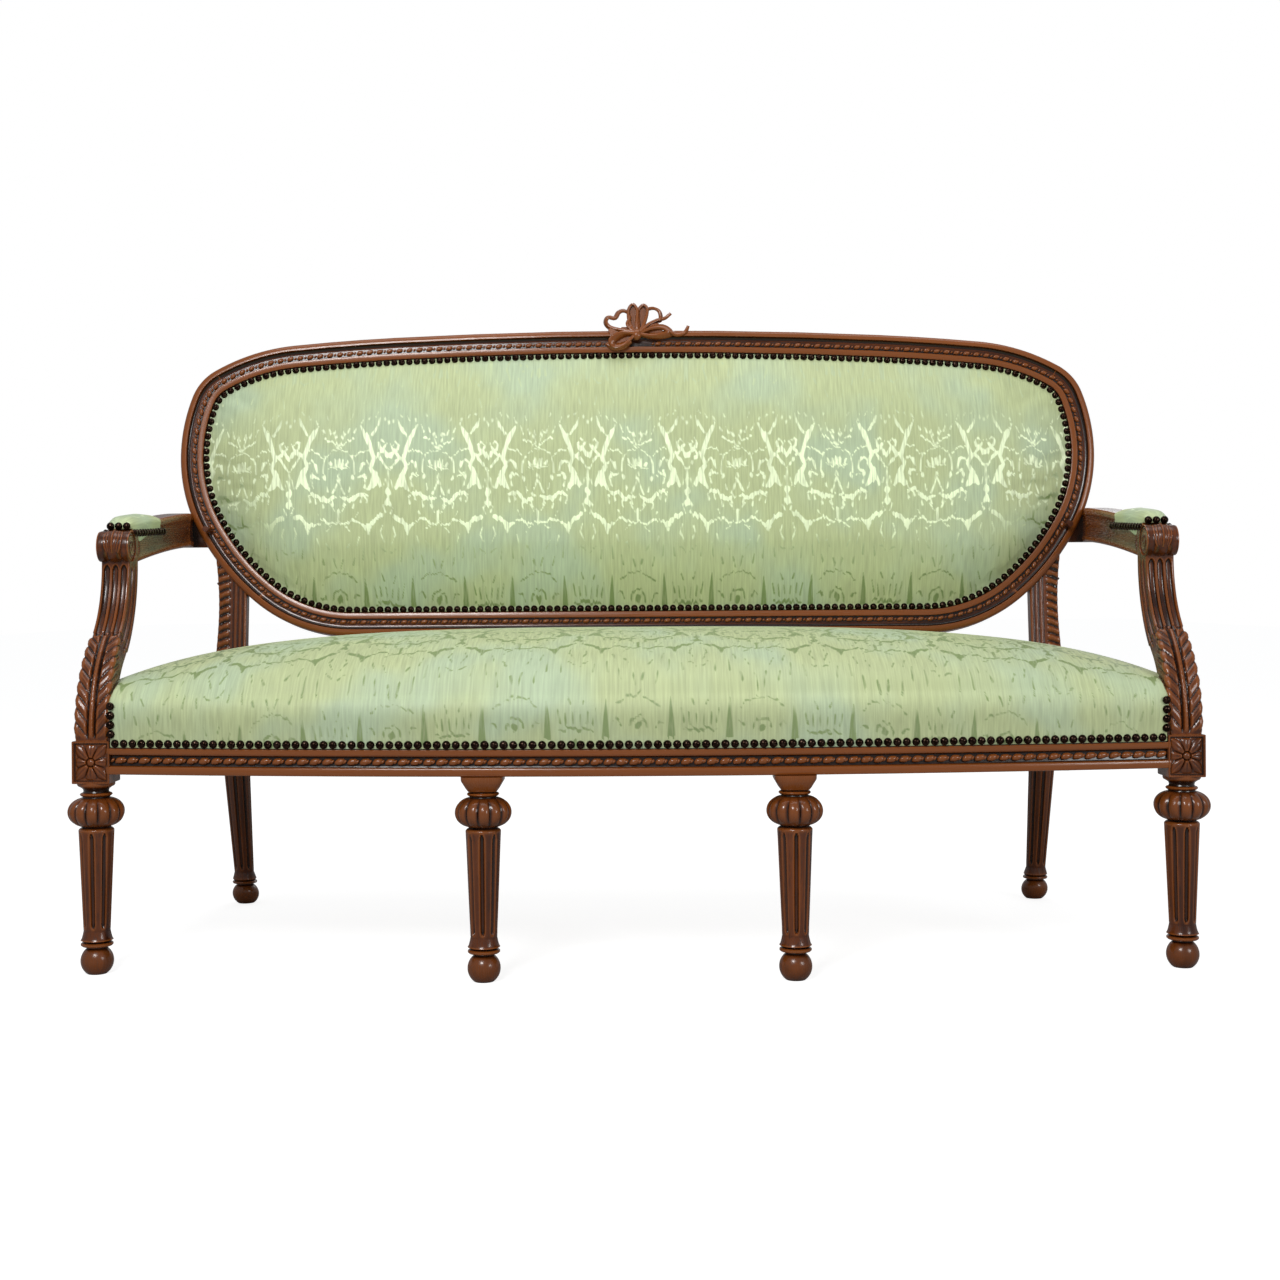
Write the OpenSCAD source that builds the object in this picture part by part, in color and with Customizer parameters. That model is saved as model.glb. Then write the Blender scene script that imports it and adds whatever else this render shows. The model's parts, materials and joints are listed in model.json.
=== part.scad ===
// Open-armed settee: a bowed show-wood seat frame on six turned and square legs, ogee arm
// posts with scrolled hand rests, and a raked moulded back crested with a ribbon bow.
// The front faces -Y, and the origin is on the floor under the middle.

/* [Seat frame] */
// Distance between the centres of the front corner legs
corner_span = 1546; // [1500:2:1600]
// Distance between the centres of the inner front legs
inner_span = 432; // [380:2:500]
// How far the centre of a rear leg stands inside that of a corner leg
rear_inset = 73; // [64:1:84]
// Distance from the front corner legs to the rear legs, centre to centre
seat_depth = 515; // [490:5:560]
// How far the front rail bows ahead of the corner legs
front_bow = 72; // [60:1:84]
// Height of the underside of the seat rails
rail_z = 285; // [270:1:300]
// Height of the seat rails
rail_h = 80; // [76:1:86]
// Thickness of the seat rails
rail_t = 42; // [38:1:46]
// Width of the cross rails
cross_t = 36; // [28:1:44]

/* [Legs] */
// Width of the square block on a front corner leg
block_w = 57; // [52:1:62]
// Height of the square block
block_h = 61; // [56:1:70]
// Diameter of the lobed bulb
bulb_d = 79; // [72:1:84]
// Height of the lobed bulb
bulb_h = 47; // [42:1:52]
// Diameter of the neck above and below the bulb
neck_d = 47; // [42:1:52]
// Diameter of the fluted shaft at its top
shaft_d = 49; // [46:1:54]
// Diameter of the fluted shaft at its foot
ankle_d = 40; // [36:1:44]
// Diameter of a ball foot
ball_d = 46; // [42:1:50]
// Number of flutes round a shaft
flutes = 10; // [8:1:12]
// Number of lobes round a bulb
lobes = 14; // [10:1:16]
// Width of a rear leg at the seat rail
rear_w = 62; // [56:1:66]
// Depth of a rear leg at the seat rail
rear_t = 48; // [46:1:54]
// How far a rear foot stands behind its seat rail
rear_splay = 50; // [30:1:60]

/* [Arms] */
// How far the top of an arm post stands behind its foot
arm_setback = 120; // [100:1:135]
// Height of the underside of the hand rest
arm_z = 597; // [580:1:615]
// Width of an arm post and its arm rail
arm_w = 55; // [50:1:57]
// Thickness of an arm post from front to back
post_t = 46; // [42:1:50]
// Height of the hand rest
rest_h = 44; // [40:1:50]
// How far an arm rail rises towards the back
arm_rise = 29; // [20:1:36]
// How far an arm rail runs in towards the back
arm_in = 26; // [22:1:32]
// Length of an arm pad
pad_l = 240; // [200:5:280]
// Height of an arm pad
pad_h = 22; // [18:1:30]

/* [Back] */
// How much wider the back frame is than the corner legs' span
back_over = 39; // [14:1:60]
// Height of the back frame along its slope
back_h = 534; // [520:1:550]
// Height of the lower edge of the back frame
back_z = 466; // [455:1:480]
// Lean of the back frame
back_rake = 6.5; // [5:0.5:8]
// Width of a back frame member
member_w = 62; // [60:1:66]
// Thickness of a back frame member
member_t = 36; // [34:1:42]
// Height of the ribbon loops above the frame
bow_h = 50; // [40:1:60]

/* [Upholstery] */
// Thickness of the damask with its lining
cover_t = 2.6; // [2:0.2:3.2]
// Height of the seat's rolled edge above the floor
edge_z = 397; // [394:1:405]
// Height of the seat's crown above the floor
crown_z = 490; // [470:1:500]
// How far the back's padding stands out
back_crown = 34; // [24:1:44]
// Width of a webbing strap
web_w = 52; // [45:1:56]
// Mean radius of a seat spring's end coils
spring_r = 36; // [30:1:40]

/* [Nails and dowels] */
// Distance between upholstery nails
nail_pitch = 13.2; // [12:0.2:20]
// Diameter of an upholstery nail's head
nail_d = 9; // [7:0.5:10]
// Diameter of a dowel
dowel_d = 10; // [8:1:11]
// Length of a dowel
dowel_l = 50; // [40:2:56]

/* [Hidden] */

walnut = "#6b3f1e";
damask = "#b5c79b";
bronze = "#2b241d";
jute = "#b08d57";
linen = "#c8b48a";
hair = "#3a2a1e";
steel = "#8d9296";

// Fits: a snug wooden joint, a soft piece against its neighbour, and beyond everything
fit = 0.2;
soft = 0.5;
far = 3000;
full_turn = 360;

// Shift in depth that centres the whole settee's box
depth_shift = -246.6;

// Places in plan
corner_x = corner_span / 2;
rear_x = corner_x - rear_inset;
inner_x = inner_span / 2;
rail_top = rail_z + rail_h;
block_top = rail_z + 50;
block_z = block_top - block_h;
block_in = corner_x - block_w / 2;
outer_front = corner_x + block_w / 2;
outer_rear = rear_x + rear_w / 2;
rear_in = rear_x - rear_w / 2;
rear_face = seat_depth - rear_t / 2;

// The bowed front rail is an arc through both corner legs
bow_r = (corner_x * corner_x + front_bow * front_bow) / (2 * front_bow);
bow_y = bow_r - front_bow;
function bow_at(x, r) = bow_y - sqrt(r * r - x * x);

// The side rails run in towards the rear
side_dy = rear_face - block_w / 2;
side_turn = atan2(outer_front - outer_rear, side_dy);
function side_at(y) = outer_front - (y - block_w / 2) * tan(side_turn);

// Seat rail moulding: lower band, carved bead, fillet, then the band under the fabric
band_h = 11;
bead_r = 6;
bead_z = 20;
fillet_z = 28;
fabric_z = 37;
fabric_in = 3.2;
nail_z = rail_z + 44;

// The back outline as tangent arcs turning clockwise from the top centre: the turns in
// degrees, and the radii of all but the first and the last, which close the given width
// and height
turns = [2.8, 2.8, 24.4, 40, 20, 28, 22, 40];
inner_radii = [3600, 340, 90, 300, 280, 420];
widest = 5;
function sum(v, n) = n <= 0 ? 0 : v[n - 1] + sum(v, n - 1);
function heading(i) = sum(turns, i);
function arc_dx(r, i) = r * (sin(heading(i + 1)) - sin(heading(i)));
function arc_dy(r, i) = r * (cos(heading(i + 1)) - cos(heading(i)));
back_w = corner_span + back_over;
crest_r = (back_w / 2 - sum([for (i = [1:widest - 1]) arc_dx(inner_radii[i - 1], i)], widest - 1))
  / sin(turns[0]);
last = len(inner_radii) + 1;
last_r = (back_h + arc_dy(crest_r, 0)
  + sum([for (i = [1:last - 1]) arc_dy(inner_radii[i - 1], i)], last - 1))
  / (cos(heading(last)) + 1);
radii = concat([crest_r], inner_radii, [last_r]);
function arc_start(i) = i <= 0 ? [0, back_h]
  : arc_start(i - 1) + [arc_dx(radii[i - 1], i - 1), arc_dy(radii[i - 1], i - 1)];
function arc_centre(i) = arc_start(i) - radii[i] * [sin(heading(i)), cos(heading(i))];
base_x = arc_start(last + 1)[0];

// Length along half the outline at an inset, and the point at a length along it
function arc_length(i, inset) = (radii[i] - inset) * turns[i] * PI / 180;
function half_length(inset) = base_x + sum([for (i = [0:last]) arc_length(i, inset)], last + 1);
function arc_point(i, s, inset) = let (a = heading(i) + s / (radii[i] - inset) * 180 / PI)
  arc_centre(i) + (radii[i] - inset) * [sin(a), cos(a)];
function along(s, inset, i = 0) = i > last ? [base_x - s, inset]
  : s > arc_length(i, inset) ? along(s - arc_length(i, inset), inset, i + 1)
  : arc_point(i, s, inset);
function flip(p) = [-p[0], p[1]];
function ring_point(k, n, inset) = let (h = half_length(inset), s = 2 * h * k / n)
  s <= h ? along(s, inset) : flip(along(2 * h - s, inset));
function outline(n, inset) = [for (k = [0:n - 1]) ring_point(k, n, inset)];

// The back's front face at its lower edge, and its moulding from the outer edge inwards
back_ahead = 15;
back_y = seat_depth - back_ahead;
side_arc = 6;
joint_arcs = [3, 7];
carved_u = 24;
carved_w = -6.5;
carved_r = 5.6;
rebate_u = 40;
rebate_z = 8;
nail_u = 44;
cover_u = 41;
web_u = 55;
dowel_u = [20, 44];
dowel_w = -member_t / 2 - 4;

// Arm posts: an ogee of two equal arcs
ogee_a = 2 * atan2(arm_setback / 2, (arm_z - block_top) / 2);
ogee_r = (arm_z - block_top) / 2 / sin(ogee_a);
ogee_lap = 0.5;
flute_r = 5;
roll_y = arm_setback - post_t / 2 + 4;
arm_back = back_y + (arm_z + rest_h + arm_rise - back_z) * tan(back_rake) + 10;
arm_turn = atan2(arm_in, arm_back - arm_setback);
arm_slope = atan2(arm_rise, arm_back - roll_y);
pad_in = 3.4;
pad_skirt = 13;
foot_pin = [corner_x + 8, -8, block_top];

// Turned legs
tenon_d = 25;
tenon_l = 38;
ring_z = 43;
shaft_z = 49;
flat_d = 28;
collar = 8;

// Rear legs
foot_in = 18;
rear_ankle = 41;
rear_neck = 46;
rear_ball_z = 34;
post_front = 2;
post_x = rear_x + 6;

// Corner blocks and their screws
brace = 62;
brace_h = 42;
brace_z = rail_z + 20;
screw_d = 4.5;
screw_l = 60;

// Seat springs stand on the webbing, twelve in three bays
web_t = 1.6;
spring_cols = [0.15, 0.46, 0.82];
spring_rows = [-0.35, 0.35];
spring_waist = 12;
spring_turns = 3.5;
spring_steps = 8;
wire_r = 2;

module mirrored(left) {
  if (left) mirror([1, 0, 0]) children();
  else children();
}

module both_sides() {
  children();
  mirror([1, 0, 0]) children();
}

module in_place() {
  translate([0, depth_shift, 0]) children();
}

// Back plane: x across, y up the slope, z towards the front
module at_back() {
  translate([0, back_y, back_z]) rotate([90 - back_rake, 0, 0]) children();
}

// A sweep about an axis along X, by an angle from straight back towards straight up
module side_sweep(centre, from, angle) {
  translate(centre) rotate([90, 0, 90]) rotate([0, 0, from])
    rotate_extrude(angle = angle, $fn = 180) children();
}

// A round pin along Y, turned in plan, centred at p
module level_pin(p, turn, d, l) {
  translate(p) rotate([0, 0, turn]) rotate([90, 0, 0]) cylinder(d = d, h = l, center = true, $fn = 32);
}

module upright_pin(p, d, l) {
  translate(p) cylinder(d = d, h = l, center = true, $fn = 32);
}

// Seat rail section: x points outwards from the rail's middle, y is up
module rail_section() {
  f = rail_t / 2;
  polygon([[-f, 0], [f - 2, 0], [f, 2], [f, band_h], [f - 3, band_h + 2], [f - 3, fillet_z],
    [f, fillet_z + 2], [f, fabric_z], [f - fabric_in, fabric_z], [f - fabric_in, rail_h - 4],
    [f - fabric_in - 4, rail_h], [-f, rail_h]]);
  translate([f - 3, bead_z]) circle(r = bead_r, $fn = 32);
}

// Two dowels join each rail to each leg
dowel_rise = [14, 40];
function rail_joints() = [for (z = dowel_rise)
  each [[[block_in, bow_at(block_in, bow_r) + 4, rail_z + z - 4], 90],
    [[side_at(block_w / 2) - rail_t / 2 - 2, block_w / 2, rail_z + z - 4], side_turn],
    [[side_at(rear_face) - rail_t / 2, rear_face, rail_z + z], side_turn],
    [[rear_in, seat_depth, rail_z + z], 90]]];

module rail_pins(d, l) {
  both_sides() for (j = rail_joints()) level_pin(j[0], j[1], d, l);
}

module rail_bores() {
  rail_pins(dowel_d + 2 * fit, dowel_l + 2);
}

module rail_dowels() {
  color(walnut) in_place() rail_pins(dowel_d, dowel_l);
}

module front_rail() {
  a = asin(block_in / (bow_r - rail_t)) + 1;
  color(walnut) in_place() difference() {
    intersection() {
      translate([0, bow_y, rail_z]) rotate([0, 0, 270 - a]) rotate_extrude(angle = 2 * a, $fn = 360)
        translate([bow_r, 0]) rail_section();
      translate([-block_in, -far / 2, 0]) cube([2 * block_in, far, far]);
    }
    rail_bores();
    screw_bores();
    both_sides() translate([inner_x, bow_at(inner_x, bow_r), rail_z - 1])
      cylinder(d = tenon_d + 2 * fit, h = tenon_l + 3, $fn = 32);
  }
}

module rear_rail() {
  color(walnut) in_place() difference() {
    translate([-rear_in, seat_depth - rail_t / 2, rail_z]) cube([2 * rear_in, rail_t, rail_h]);
    rail_bores();
    screw_bores();
  }
}

// The space outside the inner faces of the side rails, with a clearance
module beyond_side(clear) {
  translate([outer_front, block_w / 2, 0]) rotate([0, 0, side_turn])
    translate([-rail_t - clear, -far / 2, 0]) cube([far, far, far]);
}

module side_rail(left) {
  color(walnut) in_place() mirrored(left) difference() {
    intersection() {
      translate([outer_front, block_w / 2, rail_z]) rotate([0, 0, side_turn])
        translate([-rail_t / 2, seat_depth, 0]) rotate([90, 0, 0])
          linear_extrude(seat_depth + block_w) rail_section();
      translate([0, block_w / 2, 0]) cube([far, side_dy, far]);
    }
    rail_bores();
  }
}

module cross_rail(left) {
  color(walnut) in_place() mirrored(left) intersection() {
    translate([inner_x - cross_t / 2, -front_bow, rail_z])
      cube([cross_t, seat_depth - rail_t / 2 + front_bow, rail_h * 0.6]);
    translate([0, bow_y, 0]) cylinder(r = bow_r - rail_t / 2, h = far, $fn = 360);
  }
}

module front_brace() {
  y0 = bow_at(block_in - brace, bow_r - rail_t / 2) + 10;
  y1 = block_w / 2 + brace;
  difference() {
    intersection() {
      translate([0, 0, brace_z]) linear_extrude(brace_h) polygon([[block_in - brace, y0],
        [block_in - brace, y0 - brace], [outer_front, y0 - brace], [outer_front, y1],
        [side_at(y1) - rail_t - 10, y1]]);
      translate([0, bow_y, 0]) cylinder(r = bow_r - rail_t / 2 - fit, h = far, $fn = 360);
    }
    translate([block_in - fit, -far, 0]) cube([far, far + block_w / 2 + fit, far]);
    beyond_side(fit);
    screw_bores();
  }
}

module rear_brace() {
  y0 = seat_depth - rail_t / 2 - fit;
  y1 = rear_face - brace;
  difference() {
    translate([0, 0, brace_z]) linear_extrude(brace_h) polygon([[rear_in - brace, y0],
      [rear_in - brace, y0 - 10], [side_at(y1) - rail_t - 10, y1], [outer_front, y1], [outer_front, y0]]);
    translate([rear_in - fit, rear_face - fit, 0]) cube([far, far, far]);
    beyond_side(fit);
    screw_bores();
  }
}

module corner_blocks() {
  color(walnut) in_place() both_sides() {
    front_brace();
    rear_brace();
  }
}

// Screws point along their own z: the head's face is at p, and out is the room behind it
module screw(p, turn, d, out) {
  translate(p) rotate([turn, 0, 0]) {
    cylinder(d = d, h = screw_l, $fn = 24);
    translate([0, 0, -out]) cylinder(d = 2 * d, h = 3 + out, $fn = 24);
  }
}

module screw_set(d, out) {
  z = brace_z + brace_h / 2;
  both_sides() {
    screw([block_in - brace / 2, block_w / 2 + brace / 3, z], 90, d, out);
    screw([rear_in - brace / 2, rear_face - brace * 0.42, z], -90, d, out);
  }
}

module screw_bores() {
  screw_set(screw_d + 2 * fit, brace);
}

module corner_screws() {
  color(steel) in_place() screw_set(screw_d, 0);
}

// Turned leg: its radius at each height, from the floor up to its top
function ball_points() = [for (a = [-52:13:52])
  [ball_d / 2 * cos(a), ring_z / 2 * (1 + sin(a) / sin(52))]];
function bulb_points(z0) = [for (a = [-66:12:66]) let (w = (cos(a) - cos(66)) / (1 - cos(66)))
  [neck_d / 2 - 2 + (bulb_d - neck_d + 4) / 2 * w, z0 + bulb_h / 2 * (1 + sin(a) / sin(66))]];
function leg_points(top) = let (b = top - bulb_h - 14) concat([[0, 0]], ball_points(),
  [[ankle_d / 2 - 3, ring_z + 1], [ankle_d / 2 + 2, ring_z + 2], [ankle_d / 2 + 2, shaft_z],
    [ankle_d / 2, shaft_z + 2], [shaft_d / 2, b - 10], [shaft_d / 2 + 2, b - 8],
    [shaft_d / 2 + 2, b - 4], [neck_d / 2 - 4, b - 1]],
  bulb_points(b), [[neck_d / 2 - 3, top - 12], [neck_d / 2, top - 8], [neck_d / 2 + 2, top - 5],
    [neck_d / 2 + 2, top], [0, top]]);

module turned_leg(top) {
  z0 = shaft_z + 14;
  z1 = top - bulb_h - 36;
  lean = atan2((shaft_d - ankle_d) / 2, z1 - z0);
  difference() {
    rotate_extrude($fn = 64) polygon(leg_points(top));
    for (i = [0:flutes - 1]) rotate([0, 0, (i + 0.5) * 360 / flutes])
      translate([ankle_d / 2 + 1.8, 0, z0]) rotate([0, lean, 0]) cylinder(r = 4.2, h = z1 - z0, $fn = 24);
    for (i = [0:lobes - 1]) rotate([0, 0, i * 360 / lobes])
      translate([bulb_d / 2 + 2.2, 0, top - bulb_h - 13]) cylinder(r = 4.6, h = bulb_h - 2, $fn = 24);
  }
}

// A carved eight-petalled rosette, standing on the floor of its panel
module rosette() {
  cylinder(r = 5, h = 4, $fn = 24);
  for (i = [0:7]) rotate([0, 0, i * 45]) translate([11.5, 0, 0]) cylinder(r = 5.2, h = 2.4, $fn = 24);
}

module leg_block() {
  edge = 6;
  deep = 4;
  side = block_w - 2 * edge;
  tall = block_h - 2 * edge;
  difference() {
    translate([-block_w / 2, -block_w / 2, 0]) cube([block_w, block_w, block_h]);
    translate([-side / 2, -block_w / 2 - 1, edge]) cube([side, deep + 1, tall]);
    translate([block_w / 2 - deep, -side / 2, edge]) cube([deep + 1, side, tall]);
  }
  translate([0, deep - block_w / 2, block_h / 2]) rotate([90, 0, 0]) rosette();
  translate([block_w / 2 - deep, 0, block_h / 2]) rotate([0, 90, 0]) rosette();
}

module front_leg(left) {
  color(walnut) in_place() mirrored(left) difference() {
    translate([corner_x, 0, 0]) {
      turned_leg(block_z);
      translate([0, 0, block_z]) leg_block();
    }
    rail_bores();
    upright_pin(foot_pin, dowel_d + 2 * fit, dowel_l + 2);
  }
}

module inner_leg(left) {
  top = rail_z - collar;
  color(walnut) in_place() mirrored(left) translate([inner_x, bow_at(inner_x, bow_r), 0]) {
    turned_leg(top);
    translate([0, 0, top]) cylinder(d1 = neck_d + 4, d2 = rail_t + 14, h = collar, $fn = 64);
    translate([0, 0, rail_z - 1]) cylinder(d = tenon_d, h = tenon_l + 1, $fn = 32);
  }
}

// The back post, butted against the outside of the back frame's lower corner
module back_post() {
  intersection() {
    at_back() translate([0, 0, -member_t]) linear_extrude(member_t - post_front) difference() {
      translate([post_x - rear_w / 2, -back_h / 4]) square([rear_w, back_h / 2]);
      translate(arc_centre(side_arc)) circle(r = radii[side_arc] + fit, $fn = 180);
    }
    translate([0, 0, rail_top]) cube([far, far, far]);
  }
}

module rear_leg(left) {
  foot = [rear_x - foot_in, seat_depth + rear_splay];
  color(walnut) in_place() mirrored(left) difference() {
    union() {
      intersection() {
        translate([0, far, 0]) rotate([90, 0, 0]) linear_extrude(far)
          polygon([[rear_x - rear_neck / 2, block_z], [rear_x + rear_neck / 2, block_z],
            [foot[0] + rear_ankle / 2, rear_ball_z], [foot[0] - rear_ankle / 2, rear_ball_z]]);
        rotate([90, 0, 90]) linear_extrude(far)
          polygon([[seat_depth - rear_neck / 2, block_z], [seat_depth + rear_neck / 2, block_z],
            [foot[1] + rear_ankle / 2, rear_ball_z], [foot[1] - rear_ankle / 2, rear_ball_z]]);
      }
      translate(concat(foot, [0])) rotate_extrude($fn = 64)
        polygon(concat([[0, 0]], ball_points(), [[0, ring_z]]));
      translate([rear_in, rear_face, block_z]) cube([rear_w, rear_t, rail_top - block_z]);
      back_post();
    }
    rail_bores();
    at_back() post_pin(dowel_d + 2 * fit, dowel_l + 2);
  }
}

// Dowel from a back post into the frame, square to the frame's outline
module post_pin(d, l) {
  c = arc_centre(side_arc);
  a = -acos((post_x - c[0]) / radii[side_arc]);
  translate([c[0] + radii[side_arc] * cos(a), c[1] + radii[side_arc] * sin(a), dowel_w])
    rotate([90, 0, a - 90]) cylinder(d = d, h = l, center = true, $fn = 32);
}

// Post section: x runs along the sweep's radius, y across
module plain_section() {
  square([post_t, block_w], center = true);
}

module fluted_section() {
  difference() {
    square([post_t, arm_w], center = true);
    for (i = [-1:1]) translate([-post_t / 2, i * arm_w / 3.4]) circle(r = flute_r, $fn = 24);
  }
}

module post_foot() {
  side_sweep([corner_x, ogee_r, block_top], 180 - ogee_a - ogee_lap, ogee_a + ogee_lap)
    translate([ogee_r, 0]) plain_section();
}

module arm_post(left) {
  color(walnut) in_place() mirrored(left) difference() {
    union() {
      post_foot();
      side_sweep([corner_x, arm_setback - ogee_r, arm_z], -ogee_a, ogee_a)
        translate([ogee_r, 0]) fluted_section();
    }
    arm_pins(dowel_d + 2 * fit, dowel_l + 2);
  }
}

// Everything that runs back with an arm rail, turned in plan about its post
module along_arm() {
  translate([corner_x, arm_setback, 0]) rotate([0, 0, arm_turn]) translate([0, -arm_setback, 0]) children();
}

arm_arch = 9;
arm_steps = 12;
function arm_under(t) = arm_z + arm_rise * 0.9 * t + arm_arch * sin(180 * t);
function arm_outline(inset) = let (y0 = arm_setback + post_t / 2, y1 = arm_back + 40)
  concat([[roll_y, arm_z + inset], [y0, arm_z + inset]],
    [for (i = [1:arm_steps]) let (t = i / arm_steps) [y0 + (y1 - y0) * t, arm_under(t) + inset]],
    [[y1, arm_z + rest_h + (y1 - roll_y) * tan(arm_slope) - inset], [roll_y, arm_z + rest_h - inset]]);

module arm_body() {
  step = 5;
  translate([-arm_w / 2, 0, 0]) rotate([90, 0, 90]) {
    linear_extrude(arm_w) polygon(arm_outline(step));
    translate([0, 0, step]) linear_extrude(arm_w - 2 * step) polygon(arm_outline(0));
  }
  translate([-arm_w / 2 - 2, roll_y, arm_z + rest_h / 2]) rotate([0, 90, 0])
    cylinder(d = rest_h, h = arm_w + 4, $fn = 64);
}

// Pad plane: the top of the arm rail, y along it from the middle of the pad
module at_pad() {
  translate([0, roll_y, arm_z + rest_h]) rotate([arm_slope, 0, 0])
    translate([0, (arm_back - roll_y) / 2 + 10, 0]) children();
}

module arm_rail(left) {
  color(walnut) in_place() mirrored(left) difference() {
    intersection() {
      along_arm() difference() {
        arm_body();
        at_pad() both_sides() translate([arm_w / 2 - pad_in, -pad_l / 2 - 4, -pad_skirt - 1])
          cube([arm_w, pad_l + 8, far]);
      }
      at_back() translate([-far / 2, -far / 2, 0]) cube([far, far, far]);
    }
    arm_pins(dowel_d + 2 * fit, dowel_l + 2);
  }
}

module arm_pins(d, l) {
  upright_pin(foot_pin, d, l);
  upright_pin([corner_x, arm_setback, arm_z], d, l * 0.8);
  at_back() translate([corner_x - arm_in - 8, (arm_z + rest_h / 2 + arm_rise - back_z) / cos(back_rake), 0])
    cylinder(d = d, h = l, center = true, $fn = 32);
}

module arm_dowels() {
  color(walnut) in_place() both_sides() arm_pins(dowel_d, dowel_l);
}

// Back frame section: inwards from the outer edge, with the front face at 0. It starts at a
// point of the rear face from which every other point can be seen
member_points = concat([[carved_u, -member_t], [0, -member_t], [0, -9], [2.5, -3], [7, 0], [11, 0],
  [12.5, -3], [14.5, -6]],
  [for (a = [180:-36:0]) [carved_u + carved_r * cos(a), carved_w + carved_r * sin(a)]],
  [[31, -2], [rebate_u, -2], [rebate_u, -rebate_z], [member_w, -rebate_z], [member_w, -member_t]]);

// Stations along the outline, clockwise: [arc, share of the arc, side]
arc_steps = [3, 2, 4, 6, 4, 5, 4, 6];
function stations(i, j) = [for (k = [i:j], s = [0:arc_steps[k] - (k < j ? 1 : 0)]) [k, s / arc_steps[k], 1]];
function mirror_back(st) = [for (k = [len(st) - 1:-1:0]) [st[k][0], st[k][1], -1]];
function station_point(st, u) = let (i = st[0], a = heading(i) + st[1] * turns[i],
  p = arc_centre(i) + (radii[i] - u) * [sin(a), cos(a)]) [st[2] * p[0], p[1]];

// Faces between rows of points, each closed in a loop: the points' numbers in row i of n
function row(n, i) = [for (k = [0:n - 1]) i * n + k];
function wall(a, b) = [for (k = [0:len(a) - 1]) let (n = (k + 1) % len(a))
  each [[a[k], a[n], b[n]], [a[k], b[n], b[k]]]];

module member(st) {
  n = len(member_points);
  m = len(st);
  polyhedron(points = [for (s = st, q = member_points) concat(station_point(s, q[0]), [q[1]])],
    faces = concat([for (k = [1:n - 2]) [0, k, k + 1]],
      [for (i = [0:m - 2]) each wall(row(n, i + 1), row(n, i))],
      [for (k = [1:n - 2]) [(m - 1) * n, (m - 1) * n + k + 1, (m - 1) * n + k]]), convexity = 6);
}

module back_pins(d, l) {
  both_sides() {
    for (i = joint_arcs) translate(arc_start(i)) rotate([0, 0, -heading(i)]) for (u = dowel_u)
      translate([0, -u, dowel_w]) rotate([0, 90, 0]) cylinder(d = d, h = l, center = true, $fn = 32);
    post_pin(d, l);
  }
}

module back_bores() {
  at_back() back_pins(dowel_d + 2 * fit, dowel_l + 2);
  both_sides() arm_pins(dowel_d + 2 * fit, dowel_l + 2);
}

module back_top_rail() {
  color(walnut) in_place() difference() {
    at_back() member(concat([for (s = mirror_back(stations(0, 2))) if (s[0] + s[1] > 0) s], stations(0, 2)));
    back_bores();
  }
}

module back_stile(left) {
  color(walnut) in_place() mirrored(left) difference() {
    at_back() member(stations(3, 6));
    back_bores();
  }
}

module back_bottom_rail() {
  color(walnut) in_place() difference() {
    at_back() member(concat(stations(7, 7), mirror_back(stations(7, 7))));
    back_bores();
  }
}

module back_dowels() {
  color(walnut) in_place() at_back() back_pins(dowel_d, dowel_l);
}

// Ribbon bow: folded ribbons on a knot that saddles the top rail, as shares of its height
ribbons = [
  [[-0.06, -0.16], [-0.26, 0.28], [-0.28, 0.72], [-0.12, 0.9], [0.02, 0.68], [0, 0.16]],
  [[0.06, -0.16], [0.06, 0.24], [0.06, 0.68], [0.24, 0.88], [0.38, 0.7], [0.28, 0.24], [0.08, -0.16]],
  [[-0.08, -0.12], [-0.52, -0.04], [-0.92, 0.08], [-1.08, 0.28], [-1, 0.48], [-0.76, 0.44], [-0.64, 0.64],
    [-0.48, 0.72], [-0.3, 0.64], [-0.24, 0.4], [-0.32, 0.16], [-0.12, -0.12]],
  [[0.12, -0.12], [0.4, 0.16], [0.68, 0.32], [0.84, 0.4], [0.8, 0.68], [0.6, 0.8], [0.36, 0.76]],
  [[0.84, 0.4], [1, 0.44], [1.2, 0.6]],
  [[0.12, -0.16], [0.52, 0.04], [0.92, 0.08], [1.16, -0.12], [0.92, -0.24], [0.48, -0.28], [0.12, -0.2]],
  [[1.16, -0.08], [1.4, -0.2], [1.68, -0.12], [1.8, 0.12]],
  [[-0.08, -0.2], [-0.48, -0.2], [-0.84, -0.4], [-0.76, -0.6], [-0.44, -0.56], [-0.12, -0.28]],
  [[-0.2, -0.48], [-0.48, -0.64], [-0.8, -0.68], [-1.04, -0.52]]
];
ribbon_t = 4.4;
ribbon_w = 9;

module ribbon(path) {
  linear_extrude(ribbon_w) for (i = [1:len(path) - 1]) hull() for (p = [path[i - 1], path[i]])
    translate(p * bow_h) circle(d = ribbon_t, $fn = 12);
}

module crest_bow() {
  saddle = [44, 26, 6];
  knot = [13, 10];
  color(walnut) in_place() at_back() translate([0, back_h, 0]) {
    translate([-saddle[0] / 2, fit, saddle[2] - saddle[1]]) cube([saddle[0], saddle[2], saddle[1]]);
    translate([-saddle[0] / 2, -2 * knot[0], fit]) cube([saddle[0], 2 * knot[0] + saddle[2], saddle[2]]);
    translate([0, 0, fit]) for (r = ribbons) ribbon(r);
    translate([0, -knot[0], fit]) cylinder(r = knot[0], h = knot[1], $fn = 32);
  }
}

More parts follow.
